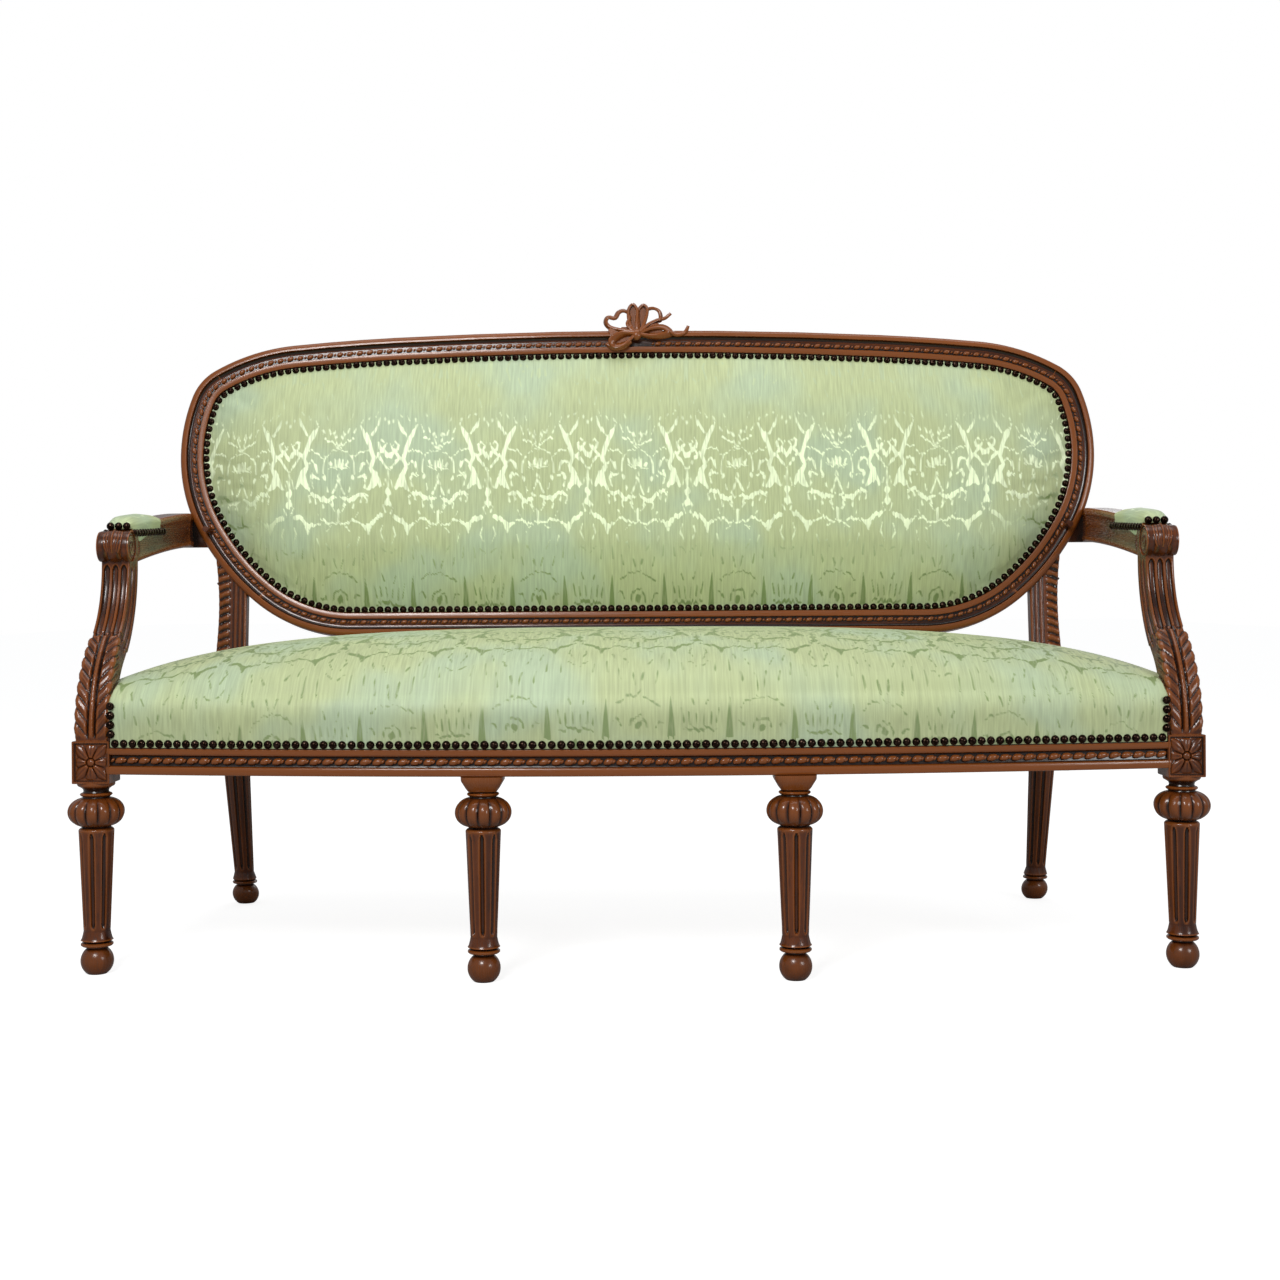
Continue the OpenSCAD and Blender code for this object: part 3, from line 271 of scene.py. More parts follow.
# Lines of the damask's figure: points (across from the axis, up, half width), in millimetres
STROKES = (
    # Wreath: its border climbs from the heavy bottom row to the palmette
    (Axis.WREATH, (4, 191, 2.0), (14, 187, 3.6), (23, 186, 4.2), (33, 196, 3.0), (42, 198, 3.6), (50, 194, 2.0)),
    (Axis.WREATH, (50, 204, 2.0), (60, 216, 6.5), (62, 231, 5.0), (54, 243, 3.0), (60, 258, 3.6), (53, 282, 3.6),
     (47, 297, 4.6), (36, 318, 1.2)),
    (Axis.WREATH, (72, 208, 2.4), (66, 222, 4.2), (60, 238, 2.2)),
    (Axis.WREATH, (60, 258, 2.0), (72, 268, 3.0), (82, 283, 1.4)),
    (Axis.WREATH, (56, 300, 2.4), (66, 316, 2.6), (70, 330, 0.8)),
    *((Axis.WREATH, (across, up, 2.0), (across + 2, up + 9, 1.0))
      for across, up in ((9, 176), (25, 172), (38, 184), (48, 182), (18, 202), (44, 210))),
    # Arch in the wreath, with a small crown under it and scrolls beside it
    (Axis.WREATH, (27, 232, 1.6), (26, 250, 1.4), (22, 262, 1.3), (12, 270, 1.1), (0, 273, 1.0)),
    (Axis.WREATH, (27, 262, 1.2), (36, 271, 1.6), (50, 273, 1.6)),
    (Axis.WREATH, (0, 244, 2.0), (2, 256, 1.2)),
    (Axis.WREATH, (5, 244, 2.6), (7, 256, 1.4)),
    (Axis.WREATH, (13, 246, 2.6), (16, 252, 1.8)),
    (Axis.WREATH, (3, 240, 1.6), (18, 242, 1.0)),
    (Axis.WREATH, (36, 236, 1.2), (40, 250, 3.0), (47, 255, 1.6), (52, 248, 1.2)),
    (Axis.WREATH, (33, 226, 1.6), (44, 232, 2.6)),
    (Axis.WREATH, (0, 222, 1.3), (6, 205, 1.6), (10, 196, 2.0)),
    (Axis.WREATH, (1, 232, 1.0), (3, 222, 1.0)),
    # Palmette above
    (Axis.WREATH, (2, 276, 1.2), (14, 288, 1.4), (24, 292, 2.4)),
    (Axis.WREATH, (1, 278, 1.0), (10, 302, 1.2)),
    *((Axis.WREATH, (across, up - tall, 1.6), (across + 3 + k % 3, up, 0.8))
      for k, (across, up, tall) in enumerate((
          (4, 306, 10), (14, 312, 12), (25, 314, 12), (38, 330, 8), (50, 334, 7), (62, 340, 7), (20, 336, 8)))),
    # Lyre on the other axis, narrowing to a stem with two drops
    (Axis.LYRE, (9, 269, 1.8), (15, 275, 2.2), (17, 284, 2.0), (12, 289, 1.6), (8, 284, 1.2)),
    (Axis.LYRE, (8, 272, 2.0), (3, 262, 3.6), (0, 258, 2.6)),
    (Axis.LYRE, (19, 262, 2.4), (11, 252, 2.4), (2, 238, 1.2)),
    (Axis.LYRE, (0, 240, 0.8), (1.4, 222, 1.0), (0.6, 202, 0.8)),
    (Axis.LYRE, (5, 222, 0.9), (8, 208, 0.8)),
    (Axis.LYRE, (0, 199, 2.0), (0, 180, 2.0)),
    (Axis.LYRE, (4, 163, 1.6), (9, 176, 1.0)),
    # Row of scrolls with flames and drops
    (Axis.WREATH, (0, 146, 1.8), (14, 145, 1.8), (25, 152, 2.6), (38, 148, 1.4), (50, 141, 4.4), (60, 148, 2.4)),
    (Axis.LYRE, (12, 158, 4.4), (22, 153, 3.6), (31, 144, 3.0)),
    (Axis.LYRE, (30, 140, 2.4), (33, 130, 1.2)),
    (Axis.WREATH, (0, 149, 1.8), (0, 168, 2.4)),
    (Axis.WREATH, (6, 166, 1.2), (13, 178, 1.4)),
    (Axis.WREATH, (12, 140, 1.2), (20, 134, 1.4)),
    (Axis.WREATH, (52, 128, 1.6), (50, 138, 2.2)),
    (Axis.WREATH, (30, 158, 1.0), (34, 166, 1.2)),
    # Faint leaves between that row and the bottom one
    (Axis.LYRE, (9, 141, 1.2), (13, 128, 1.4), (6, 112, 1.2)),
    (Axis.LYRE, (4, 96, 1.4), (14, 104, 1.2)),
    (Axis.WREATH, (14, 100, 1.2), (20, 112, 1.4)),
    (Axis.WREATH, (32, 108, 1.2), (36, 124, 1.4)),
    (Axis.WREATH, (8, 84, 1.8), (4, 70, 1.2)),
    (Axis.WREATH, (42, 86, 1.6), (44, 108, 1.0)),
    (Axis.LYRE, (22, 84, 1.4), (24, 102, 1.0)),
    (Axis.WREATH, (25, 74, 1.6), (28, 88, 1.2)),
    # Bottom row: ring arches under the wreaths, flames between them, baskets under the lyres
    (Axis.WREATH, (12, 16, 1.6), (11, 24, 1.6), (6, 30, 1.6), (0, 32, 1.6)),
    (Axis.WREATH, (24, 18, 1.6), (28, 26, 1.6), (34, 24, 1.2)),
    (Axis.WREATH, (30, 46, 1.4), (20, 56, 1.4), (8, 60, 1.2), (0, 62, 1.2)),
    (Axis.WREATH, (45, 0, 5.5), (45, 30, 3.4), (44, 56, 0.8)),
    (Axis.LYRE, (4, 20, 1.2), (6, 36, 1.2)),
    (Axis.LYRE, (14, 20, 1.6), (16, 38, 1.2)),
    (Axis.LYRE, (22, 22, 1.6), (26, 42, 1.0)),
    (Axis.LYRE, (2, 12, 2.6), (24, 12, 1.4)),
    (Axis.LYRE, (8, 46, 1.6), (12, 58, 1.0)),
    # Top: hanging leaves that reach the next repeat
    (Axis.LYRE, (0, 446, 4.5), (0, 412, 4.0), (3, 396, 0.8)),
    (Axis.LYRE, (10, 404, 1.4), (18, 392, 1.6), (26, 398, 1.0)),
    (Axis.WREATH, (0, 410, 4.0), (0, 424, 2.6)),
    (Axis.WREATH, (12, 408, 2.2), (10, 424, 1.6)),
    (Axis.WREATH, (30, 388, 1.2), (34, 402, 2.0)),
    (Axis.WREATH, (50, 400, 1.6), (56, 424, 2.0), (50, 436, 1.0)),
    (Axis.WREATH, (12, 362, 1.2), (16, 376, 1.2)),
    (Axis.WREATH, (40, 358, 1.2), (44, 370, 1.0)),
    (Axis.LYRE, (12, 350, 1.2), (16, 368, 1.0)),
)
# Filled ovals of the figure: across, up, half width and half height
DROPS = (
    (Axis.WREATH, 46, 226, 3, 5),
    (Axis.WREATH, 24, 224, 3, 5),
    (Axis.LYRE, 0, 199, 5.4, 6.4),
    (Axis.LYRE, 0, 180, 6.0, 6.8),
    (Axis.LYRE, 0, 318, 2.2, 4),
    (Axis.LYRE, 7, 326, 2, 4),
    (Axis.WREATH, 0, 18, 5, 6),
    (Axis.WREATH, 21, 432, 2.4, 3),
    (Axis.WREATH, 32, 430, 2.6, 3),
    (Axis.WREATH, 27, 419, 2.4, 3),
)


@dataclass(frozen=True)
class DamaskFigure:
    """The woven figure in millimetres, one repeat wide: a leafy wreath between lyres, over scrolls and arches.

    Each shape is drawn once and mirrored about the wreath's axis or the lyre's.
    """

    width: float = 170.0
    height: float = 452.0
    fringe: float = 5.0
    sway: float = 1.6
    farthest: float = 60.0

    def noise(self, x: Array, seed: int) -> Array:
        """Even noise from 0 to 1 that changes with every whole number."""
        wave = np.sin(np.floor(x) * 127.1 + seed * 311.7) * 43758.5453
        return wave - np.floor(wave)

    def stroke(self, across: Array, up: Array, start: tuple, end: tuple) -> Array:
        """Distance outside a straight line whose half width changes along it.

        Args:
            across: Places across, from the line's axis.
            up: Places up the cloth.
            start: Where it starts (across, up, half width).
            end: Where it ends.

        Returns:
            The distances, negative within the line.
        """
        (x0, y0, r0), (x1, y1, r1) = start, end
        dx, dy = x1 - x0, y1 - y0
        t = np.clip(((across - x0) * dx + (up - y0) * dy) / (dx * dx + dy * dy), 0, 1)
        return np.hypot(across - x0 - t * dx, up - y0 - t * dy) - (r0 + t * (r1 - r0))

    def drop(self, across: Array, up: Array, x: float, y: float, wide: float, tall: float) -> Array:
        """Distance outside a filled oval."""
        return (np.hypot((across - x) / wide, (up - y) / tall) - 1) * min(wide, tall)

    def distance(self, u: Array, v: Array) -> Array:
        """Draws the figure, with threads that shift its edges up and down.

        Args:
            u: Place across the cloth.
            v: Place up the cloth.

        Returns:
            The distance outside the nearest shape, negative within it.
        """
        ragged = (self.noise(u / 2.6, 1) - 0.5) + 0.6 * (self.noise(u / 6.1, 2) - 0.5)
        up = np.mod(v + ragged * self.fringe, self.height) + self.sway * np.sin(u / 11.0)
        wreath = np.abs(np.mod(u + self.width / 2, self.width) - self.width / 2)
        across = {Axis.WREATH: wreath, Axis.LYRE: self.width / 2 - wreath}
        least = np.full(np.shape(u), self.farthest)
        for axis, *points in STROKES:
            for start, end in zip(points, points[1:]):
                np.minimum(least, self.stroke(across[axis], up, start, end), out=least)
        for axis, *oval in DROPS:
            np.minimum(least, self.drop(across[axis], up, *oval), out=least)
        return least


@dataclass(frozen=True)
class SilkDamask:
    """Silk damask: a woven figure on a matt sage ground, with a painted highlight and painted shade on the figure
    that follow the slope of the cloth.

    The cloth carries its own attributes: its place (cloth), the figure's distance (figure) and the figure's painted
    sheen (satin), from painted shade at 0 to painted highlight at 1.
    """

    name: str = "sage silk damask"
    ground: str = "#b9c492"
    cool: str = "#aebf9d"
    # Colours of the figure under its painted highlight and in its painted shade
    painted_highlight: str = "#f2ffd4"
    painted_shade: str = "#7c9059"
    thread_mm: float = 1.3

    def build(self) -> bpy.types.Material:
        """Builds the material.

        Returns:
            The material.
        """
        material, tree, shader = new_material(self.name)
        cloth = add_node(tree, "ShaderNodeAttribute", attribute_name="cloth").outputs["Vector"]
        woven_at = add_node(tree, "ShaderNodeAttribute", attribute_name="figure").outputs["Fac"]
        figure = Formula(tree, woven_at).blend(0.9, -1.1)
        painted_sheen = Formula(tree, add_node(tree, "ShaderNodeAttribute", attribute_name="painted_sheen").outputs["Fac"])
        patches = add_node(tree, "ShaderNodeTexNoise", {"Vector": cloth, "Scale": 6.0, "Detail": 2.0})
        patch = Formula(tree, patches.outputs["Fac"])
        streak_at = add_node(tree, "ShaderNodeMapping", {"Vector": cloth, "Scale": (330.0, 22.0, 1.0)})
        streaked = add_node(tree, "ShaderNodeTexNoise",
                            {"Vector": streak_at.outputs[0], "Scale": 1.0, "Detail": 2.0})
        streaks = Formula(tree, streaked.outputs["Fac"])
        # Painted highlight and painted shade: the figure's colour is mixed between them by the slope attribute
        painted_sheen_colour = add_node(tree, "ShaderNodeMix", {0: painted_sheen.socket, 6: linear(self.painted_shade), 7: linear(self.painted_highlight)},
                         data_type="RGBA")
        base = add_node(tree, "ShaderNodeMix",
                        {0: patch.blend(0.42, 0.66).socket, 6: linear(self.ground), 7: linear(self.cool)},
                        data_type="RGBA")
        amount = figure * (streaks.blend(0.32, 0.5) * 0.5 + 0.5)
        woven = add_node(tree, "ShaderNodeMix", {0: amount.socket, 6: base.outputs[2], 7: painted_sheen_colour.outputs[2]},
                         data_type="RGBA")
        streaky = (streaks - 0.5) * 0.6 + (patch - 0.5) * 0.35 + 1.0
        colour = add_node(tree, "ShaderNodeVectorMath", {0: woven.outputs[2], 1: streaky.socket},
                          operation="MULTIPLY")
        # Silk threads are 0.3 mm apart: drawn at 1.3 mm, so that the weave shows in a render
        scale = math.tau / (self.thread_mm * MM)
        threads = add_node(tree, "ShaderNodeSeparateXYZ", {0: cloth})
        warp = (Formula(tree, threads.outputs[0]) * scale).apply("SINE")
        weft = (Formula(tree, threads.outputs[1]) * scale).apply("SINE")
        relief = warp * weft * 0.2 + figure * 0.7 + streaks * 0.6
        bump = add_node(tree, "ShaderNodeBump", {"Strength": 0.35, "Distance": 0.4 * MM, "Height": relief.socket})
        rough = figure * -0.14 + 0.56
        for key, value in {"Base Color": colour.outputs[0], "Roughness": rough.socket,
                           "Normal": bump.outputs[0]}.items():
            tree.links.new(value, shader.inputs[key])
        shader.inputs["Sheen Weight"].default_value = 0.12
        shader.inputs["Sheen Roughness"].default_value = 0.4
        shader.inputs["IOR"].default_value = 1.54
        return material


@dataclass(frozen=True)
class PlainCloth:
    """Woven jute or hair cloth, with a coarse thread that shows from below."""

    name: str
    thread: str
    gap: str
    thread_mm: float = 3.0

    def build(self) -> bpy.types.Material:
        """Builds the material.

        Returns:
            The material.
        """
        material, tree, shader = new_material(self.name)
        scale = math.pi / (self.thread_mm * MM)
        place = add_node(tree, "ShaderNodeTexCoord").outputs["Object"]
        parts = add_node(tree, "ShaderNodeSeparateXYZ", {0: place})
        warp = (Formula(tree, parts.outputs[0]) * scale).apply("SINE").size()
        weft = (Formula(tree, parts.outputs[1]) * scale).apply("SINE").size()
        fuzz = add_node(tree, "ShaderNodeTexNoise", {"Vector": place, "Scale": 90.0, "Detail": 5.0})
        height = (warp + weft) * 0.4 + Formula(tree, fuzz.outputs["Fac"]) * 0.5
        shown = height.blend(0.3, 0.9)
        colour = add_node(tree, "ShaderNodeMix", {0: shown.socket, 6: linear(self.gap), 7: linear(self.thread)},
                          data_type="RGBA")
        bump = add_node(tree, "ShaderNodeBump", {"Strength": 0.5, "Distance": 0.6 * MM, "Height": height.socket})
        tree.links.new(colour.outputs[2], shader.inputs["Base Color"])
        tree.links.new(bump.outputs[0], shader.inputs["Normal"])
        shader.inputs["Roughness"].default_value = 0.85
        return material


@dataclass(frozen=True)
class DrawnSteel:
    """Bright drawn steel wire and cut screws, a little dulled."""

    name: str = "drawn steel"
    colour: str = "#8d9296"

    def build(self) -> bpy.types.Material:
        """Builds the material.

        Returns:
            The material.
        """
        material, tree, shader = new_material(self.name)
        place = add_node(tree, "ShaderNodeTexCoord").outputs["Object"]
        marks = add_node(tree, "ShaderNodeTexNoise", {"Vector": place, "Scale": 300.0, "Detail": 2.0})
        rough = add_node(tree, "ShaderNodeMapRange", {"Value": marks.outputs["Fac"], 3: 0.25, 4: 0.45})
        tree.links.new(rough.outputs[0], shader.inputs["Roughness"])
        shader.inputs["Base Color"].default_value = linear(self.colour)
        shader.inputs["Metallic"].default_value = 1.0
        return material


# ---------------------------------------------------------------- meshes


def shell(points: Array, around: bool = True, looped: bool = False, capped: bool = True) -> tuple[Array, list]:
    """Joins rows of points into a skin.

    Args:
        points: Points in rows, of shape (rows, columns, 3).
        around: Whether each row closes on itself.
        looped: Whether the last row joins the first.
        capped: Whether the first and last rows are closed with a face.

    Returns:
        The vertices and the faces.
    """
    rows, cols = points.shape[:2]
    faces = []
    for i in range(rows if looped else rows - 1):
        j = (i + 1) % rows
        for k in range(cols if around else cols - 1):
            n = (k + 1) % cols
            faces.append((i * cols + k, i * cols + n, j * cols + n, j * cols + k))
    if capped and around and not looped:
        faces.append(tuple(range(cols - 1, -1, -1)))
        faces.append(tuple(range((rows - 1) * cols, rows * cols)))
    return points.reshape(-1, 3), faces


def travel(line: Array) -> Array:
    """Distance travelled from the start of a line to each of its points."""
    return np.concatenate([[0], np.cumsum(np.linalg.norm(np.diff(line, axis=0), axis=1))])


def even_places(line: Array, normals: Array, count: int) -> tuple[Array, Array, Array]:
    """Sets even places round a closed line.

    Args:
        line: Points of the line, each of them once.
        normals: Direction at each point.
        count: Number of places.

    Returns:
        The places, their directions, and how far round from the start each is, to either side.
    """
    run = travel(np.concatenate([line, line[:1]]))
    at = np.linspace(0, run[-1], count, endpoint=False)
    place, out = (np.stack([np.interp(at, run, np.append(v[:, k], v[0, k])) for k in (0, 1)], 1)
                  for v in (line, normals))
    signed = np.where(at > run[-1] / 2, at - run[-1], at)
    return place, out / np.linalg.norm(out, axis=1, keepdims=True), signed


def rim_of(rows: int, cols: int) -> Array:
    """Numbers of the points round a grid's rim, in order."""
    grid = np.arange(rows * cols).reshape(rows, cols)
    return np.concatenate([grid[:, 0], grid[-1, 1:], grid[-2::-1, -1], grid[0, -2:0:-1]])


def band(first: Array, second: Array) -> list[list[int]]:
    """Faces between two closed rings of points, given by their numbers."""
    return np.stack([first, np.roll(first, -1), np.roll(second, -1), second], 1).tolist()


def closed_pair(over: Array, under: Array) -> tuple[Array, list]:
    """Closes two grids of one shape into a body, with a wall round their rims.

    Args:
        over: Grid of points of the upper skin.
        under: Grid of points of the lower skin.

    Returns:
        The vertices and the faces.
    """
    verts, faces = shell(over, around=False)
    lower, bottom = shell(under, around=False)
    base, rim = len(verts), rim_of(*over.shape[:2])
    faces += [tuple(base + k for k in face) for face in bottom] + band(rim, rim + base)
    return np.concatenate([verts, lower]), faces


def mirrored(parts: Sequence[tuple[Array, list]], side: float, at: Sequence[float] = (0, 0, 0)) -> list:
    """Moves skins into their place on the right, and mirrors them where they are for the left."""
    return [((verts + np.array(at)) * np.array([side, 1.0, 1.0]), faces) for verts, faces in parts]


def mesh_piece(name: str, parts: Sequence[tuple[Array, list]], grain: Array | None = None,
               smooth: float = 40.0) -> bpy.types.Object:
    """Makes one object from skins in millimetres, with its faces pointing outwards.

    Args:
        name: Name of the piece.
        parts: Vertices and faces of each skin.
        grain: Place along and across the grain for each vertex, in millimetres.
        smooth: Angle in degrees up to which edges are shaded smooth.

    Returns:
        The object, in metres.
    """
    verts = np.concatenate([p[0] for p in parts])
    faces, base = [], 0
    for points, skin in parts:
        faces += [tuple(base + k for k in f) for f in skin]
        base += len(points)
    mesh = bpy.data.meshes.new(name)
    mesh.from_pydata((verts * MM).tolist(), [], faces)
    write_attribute(mesh, "grain", (verts if grain is None else grain) * MM)
    work = bmesh.new()
    work.from_mesh(mesh)
    bmesh.ops.recalc_face_normals(work, faces=work.faces)
    work.to_mesh(mesh)
    work.free()
    mesh.shade_smooth()
    mesh.set_sharp_from_angle(angle=math.radians(smooth))
    mark_wear_and_hollow_shade(mesh)
    return link_piece(name, mesh)


def link_piece(name: str, mesh: bpy.types.Mesh) -> bpy.types.Object:
    """Puts a mesh into the scene as an object at the origin."""
    piece = bpy.data.objects.new(name, mesh)
    bpy.context.scene.collection.objects.link(piece)
    return piece


def read_points(mesh: bpy.types.Mesh, what: str = "co") -> Array:
    """Reads a vector of every vertex, in metres or as a unit normal."""
    values = np.empty(len(mesh.vertices) * 3)
    mesh.vertices.foreach_get(what, values)
    return values.reshape(-1, 3)


def write_attribute(mesh: bpy.types.Mesh, name: str, values: Array) -> None:
    """Writes a number or a vector on every vertex."""
    kind, key = ("FLOAT_VECTOR", "vector") if values.ndim == 2 else ("FLOAT", "value")
    data = mesh.attributes.get(name) or mesh.attributes.new(name, kind, "POINT")
    data.data.foreach_set(key, values.astype(np.float32).ravel())


def mark_wear_and_hollow_shade(mesh: bpy.types.Mesh, steps: int = 7, reach: float = 0.75, longest: float = 9.0) -> None:
    """Marks where hands rub a carving and where shade is painted into its hollows: 0 in a hollow, 1 on a crest.

    Args:
        mesh: The carving's mesh.
        steps: Smoothing steps that it is set against.
        reach: Depth in millimetres of a full hollow.
        longest: Edges longer than this are left out, because a plain face has no wear in its middle.
    """
    shortest, pull_share, nothing = 0.3, 0.6, 1e-9
    at, normal = read_points(mesh) / MM, read_points(mesh, "normal")
    ends = np.empty(len(mesh.edges) * 2, int)
    mesh.edges.foreach_get("vertices", ends)
    a, b = ends.reshape(-1, 2).T
    length = np.linalg.norm(at[a] - at[b], axis=1)
    weight = np.where(length > longest, 0.0, 1 / np.maximum(length, shortest))
    count = len(at)
    total = (np.bincount(a, weight, count) + np.bincount(b, weight, count))[:, None]
    smooth = at.copy()
    for _ in range(steps):
        pull = np.stack([np.bincount(a, weight * smooth[b, k], count) + np.bincount(b, weight * smooth[a, k], count)
                         for k in range(3)], 1) / np.maximum(total, nothing)
        smooth = np.where(total > 0, (1 - pull_share) * smooth + pull_share * pull, smooth)
    depth = ((smooth - at) * normal).sum(1)
    write_attribute(mesh, "wear_and_hollow_shade", np.clip(0.5 - depth / (2 * reach), 0, 1))


def finish_piece(piece: bpy.types.Object, material: bpy.types.Material, slot: Slot,
                 *nodes: str) -> bpy.types.Object:
    """Gives a piece its material and its body, and hides the CAD nodes that it stands for.

    Args:
        piece: The piece.
        material: Its finish.
        slot: The record's slot for it; not used.
        *nodes: CAD nodes that it replaces.

    Returns:
        The piece.
    """
    piece.data.materials.clear()
    piece.data.materials.append(material)
    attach(piece, BODY)
    if nodes:
        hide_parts(*nodes)
    LOG.info("%s: %d faces", piece.name, len(piece.data.polygons))
    return piece


def carve(name: str, parts: Sequence[tuple[Array, list]], wood: bpy.types.Material, grain: Grain,
          smooth: float, *nodes: str) -> None:
    """Makes a piece of carved wood from skins.

    Args:
        name: Name of the piece.
        parts: Vertices and faces of each skin, in millimetres.
        wood: Finish of the piece.
        grain: How its grain runs.
        smooth: Angle in degrees up to which edges are shaded smooth.
        *nodes: CAD nodes that it replaces.
    """
    verts = np.concatenate([p[0] for p in parts])
    piece = mesh_piece(name, parts, verts[:, grain.value], smooth)
    finish_piece(piece, wood, Slot.WALNUT, *nodes)


def smoothstep(low: float, high: float, x: Array | float) -> Array:
    """Smooth step from 0 at low to 1 at high."""
    t = np.clip((np.asarray(x, float) - low) / (high - low), 0, 1)
    return t * t * (3 - 2 * t)


@dataclass
class Repeater:
    """Geometry Nodes that set one small unit at every point of a path, each a little different."""

    size: float = 1.0
    tilt: float = 0.0
    seed: int = 3
    smallest: float = 0.96
    largest: float = 1.03
    smooth: float = 50.0

    def tree(self) -> bpy.types.NodeTree:
        """Builds the node tree, with named inputs.

        Returns:
            The tree.
        """
        tree = bpy.data.node_groups.new("units along a path", "GeometryNodeTree")
        for name, kind in (("Path", "NodeSocketGeometry"), ("Unit", "NodeSocketObject"),
                           ("Size", "NodeSocketFloat"), ("Tilt", "NodeSocketFloat"), ("Seed", "NodeSocketInt"),
                           ("Finish", "NodeSocketMaterial")):
            tree.interface.new_socket(name=name, in_out="INPUT", socket_type=kind)
        tree.interface.new_socket(name="Geometry", in_out="OUTPUT", socket_type="NodeSocketGeometry")
        ins = add_node(tree, "NodeGroupInput").outputs
        unit = add_node(tree, "GeometryNodeObjectInfo", {"Object": ins["Unit"]})
        turn = add_node(tree, "GeometryNodeInputNamedAttribute", {"Name": "turn"}, data_type="FLOAT_VECTOR")
        least = add_node(tree, "ShaderNodeVectorMath", {0: (-1.0, -1.0, -1.0), "Scale": ins["Tilt"]},
                         operation="SCALE")
        most = add_node(tree, "ShaderNodeVectorMath", {0: (1.0, 1.0, 1.0), "Scale": ins["Tilt"]}, operation="SCALE")
        lean = add_node(tree, "FunctionNodeRandomValue",
                        {0: least.outputs[0], 1: most.outputs[0], "Seed": ins["Seed"]}, data_type="FLOAT_VECTOR")
        spread = {2: self.smallest, 3: self.largest, "Seed": ins["Seed"]}
        grow = add_node(tree, "FunctionNodeRandomValue", spread, data_type="FLOAT")
        scale = add_node(tree, "ShaderNodeMath", {0: grow.outputs[1], 1: ins["Size"]}, operation="MULTIPLY")
        turned = add_node(tree, "FunctionNodeEulerToRotation", {0: turn.outputs[0]})
        leaned = add_node(tree, "FunctionNodeEulerToRotation", {0: lean.outputs[0]})
        both = add_node(tree, "FunctionNodeRotateRotation", {0: turned.outputs[0], 1: leaned.outputs[0]},
                        rotation_space="LOCAL")
        placed = add_node(tree, "GeometryNodeInstanceOnPoints",
                          {"Points": ins["Path"], "Instance": unit.outputs["Geometry"],
                           "Rotation": both.outputs[0], "Scale": scale.outputs[0]})
        real = add_node(tree, "GeometryNodeRealizeInstances", {0: placed.outputs[0]})
        dressed = add_node(tree, "GeometryNodeSetMaterial",
                           {"Geometry": real.outputs[0], "Material": ins["Finish"]})
        add_node(tree, "NodeGroupOutput", {0: dressed.outputs[0]})
        return tree

    def build(self, name: str, unit: bpy.types.Object, places: Array, frames: Array,
              material: bpy.types.Material) -> bpy.types.Object:
        """Sets the unit at every place.

        Args:
            name: Name of the piece.
            unit: The small object, in metres, about the origin.
            places: Points in millimetres.
            frames: Turn of the unit at each point, as 3 by 3 matrices.
            material: Finish of the piece.

        Returns:
            The piece as a plain mesh.
        """
        mesh = bpy.data.meshes.new(name)
        mesh.from_pydata((places * MM).tolist(), [], [])
        turns = [Matrix(f.tolist()).to_euler("XYZ") for f in frames]
        turned = mesh.attributes.new("turn", "FLOAT_VECTOR", "POINT")
        turned.data.foreach_set("vector", [c for t in turns for c in t])
        points = link_piece(name, mesh)
        tree = self.tree()
        modifier = points.modifiers.new("units", "NODES")
        modifier.node_group = tree
        values = {"Unit": unit, "Size": self.size, "Tilt": self.tilt, "Seed": self.seed, "Finish": material}
        for item in tree.interface.items_tree:
            if item.in_out == "INPUT" and item.name in values:
                modifier[item.identifier] = values[item.name]
        evaluated = points.evaluated_get(bpy.context.evaluated_depsgraph_get())
        result = bpy.data.meshes.new_from_object(evaluated)
        points.modifiers.clear()
        points.data = result
        result.shade_smooth()
        result.set_sharp_from_angle(angle=math.radians(self.smooth))
        return points


def lathe(profile: Sequence[tuple[float, float]], steps: int) -> tuple[Array, list]:
    """Turns a profile about Z.

    Args:
        profile: Radius and height of each ring; the first and last may be on the axis.
        steps: Points round each ring.

    Returns:
        The vertices and the faces.
    """
    a = np.linspace(0, math.tau, steps, endpoint=False)
    rings = np.array([[(r * math.cos(t), r * math.sin(t), z) for t in a] for r, z in profile])
    return shell(rings)


def small_unit(name: str, parts: Sequence[tuple[Array, list]]) -> bpy.types.Object:
    """Makes a unit for a repeater, which isn't itself a piece of the settee.

    Args:
        name: Name of the unit.
        parts: Vertices and faces in millimetres.

    Returns:
        The object, outside the scene's collection.
    """
    unit = mesh_piece(name, parts)
    bpy.context.scene.collection.objects.unlink(unit)
    return unit


def nail_unit() -> bpy.types.Object:
    """Domed nail head, 12 mm across."""
    profile = [(0.01, -0.2), (5.8, -0.2), (6.0, 0.5), (5.7, 1.7), (4.9, 3.0), (3.6, 4.2), (1.9, 5.0), (0.01, 5.3)]
    return small_unit("nail head", [lathe(profile, 14)])


def bead_unit() -> bpy.types.Object:
    """Makes a long bead with slanted ends and a pearl beside it, as a carver cuts them along a moulding.

    Returns:
        The unit.
    """
    parts, slant, aside = [], 0.45, 2.6
    for steps, radius, half, middle, power in ((9, 3.9, 5.7, 0.0, 3.2), (6, 2.5, 2.3, 8.8, 2.0)):
        profile = [(max(radius * math.sqrt(max(1 - abs(t) ** power, 0)), 0.05), half * t + middle)
                   for t in np.linspace(-1, 1, steps)]
        verts, faces = lathe(profile, 10)
        turned = verts[:, [2, 1, 0]] * np.array([1, 1, -1])
        turned[:, 0] += slant * turned[:, 1] - aside
        parts.append((turned, faces))
    return small_unit("bead and pearl", parts)


# ---------------------------------------------------------------- places shared with the CAD source


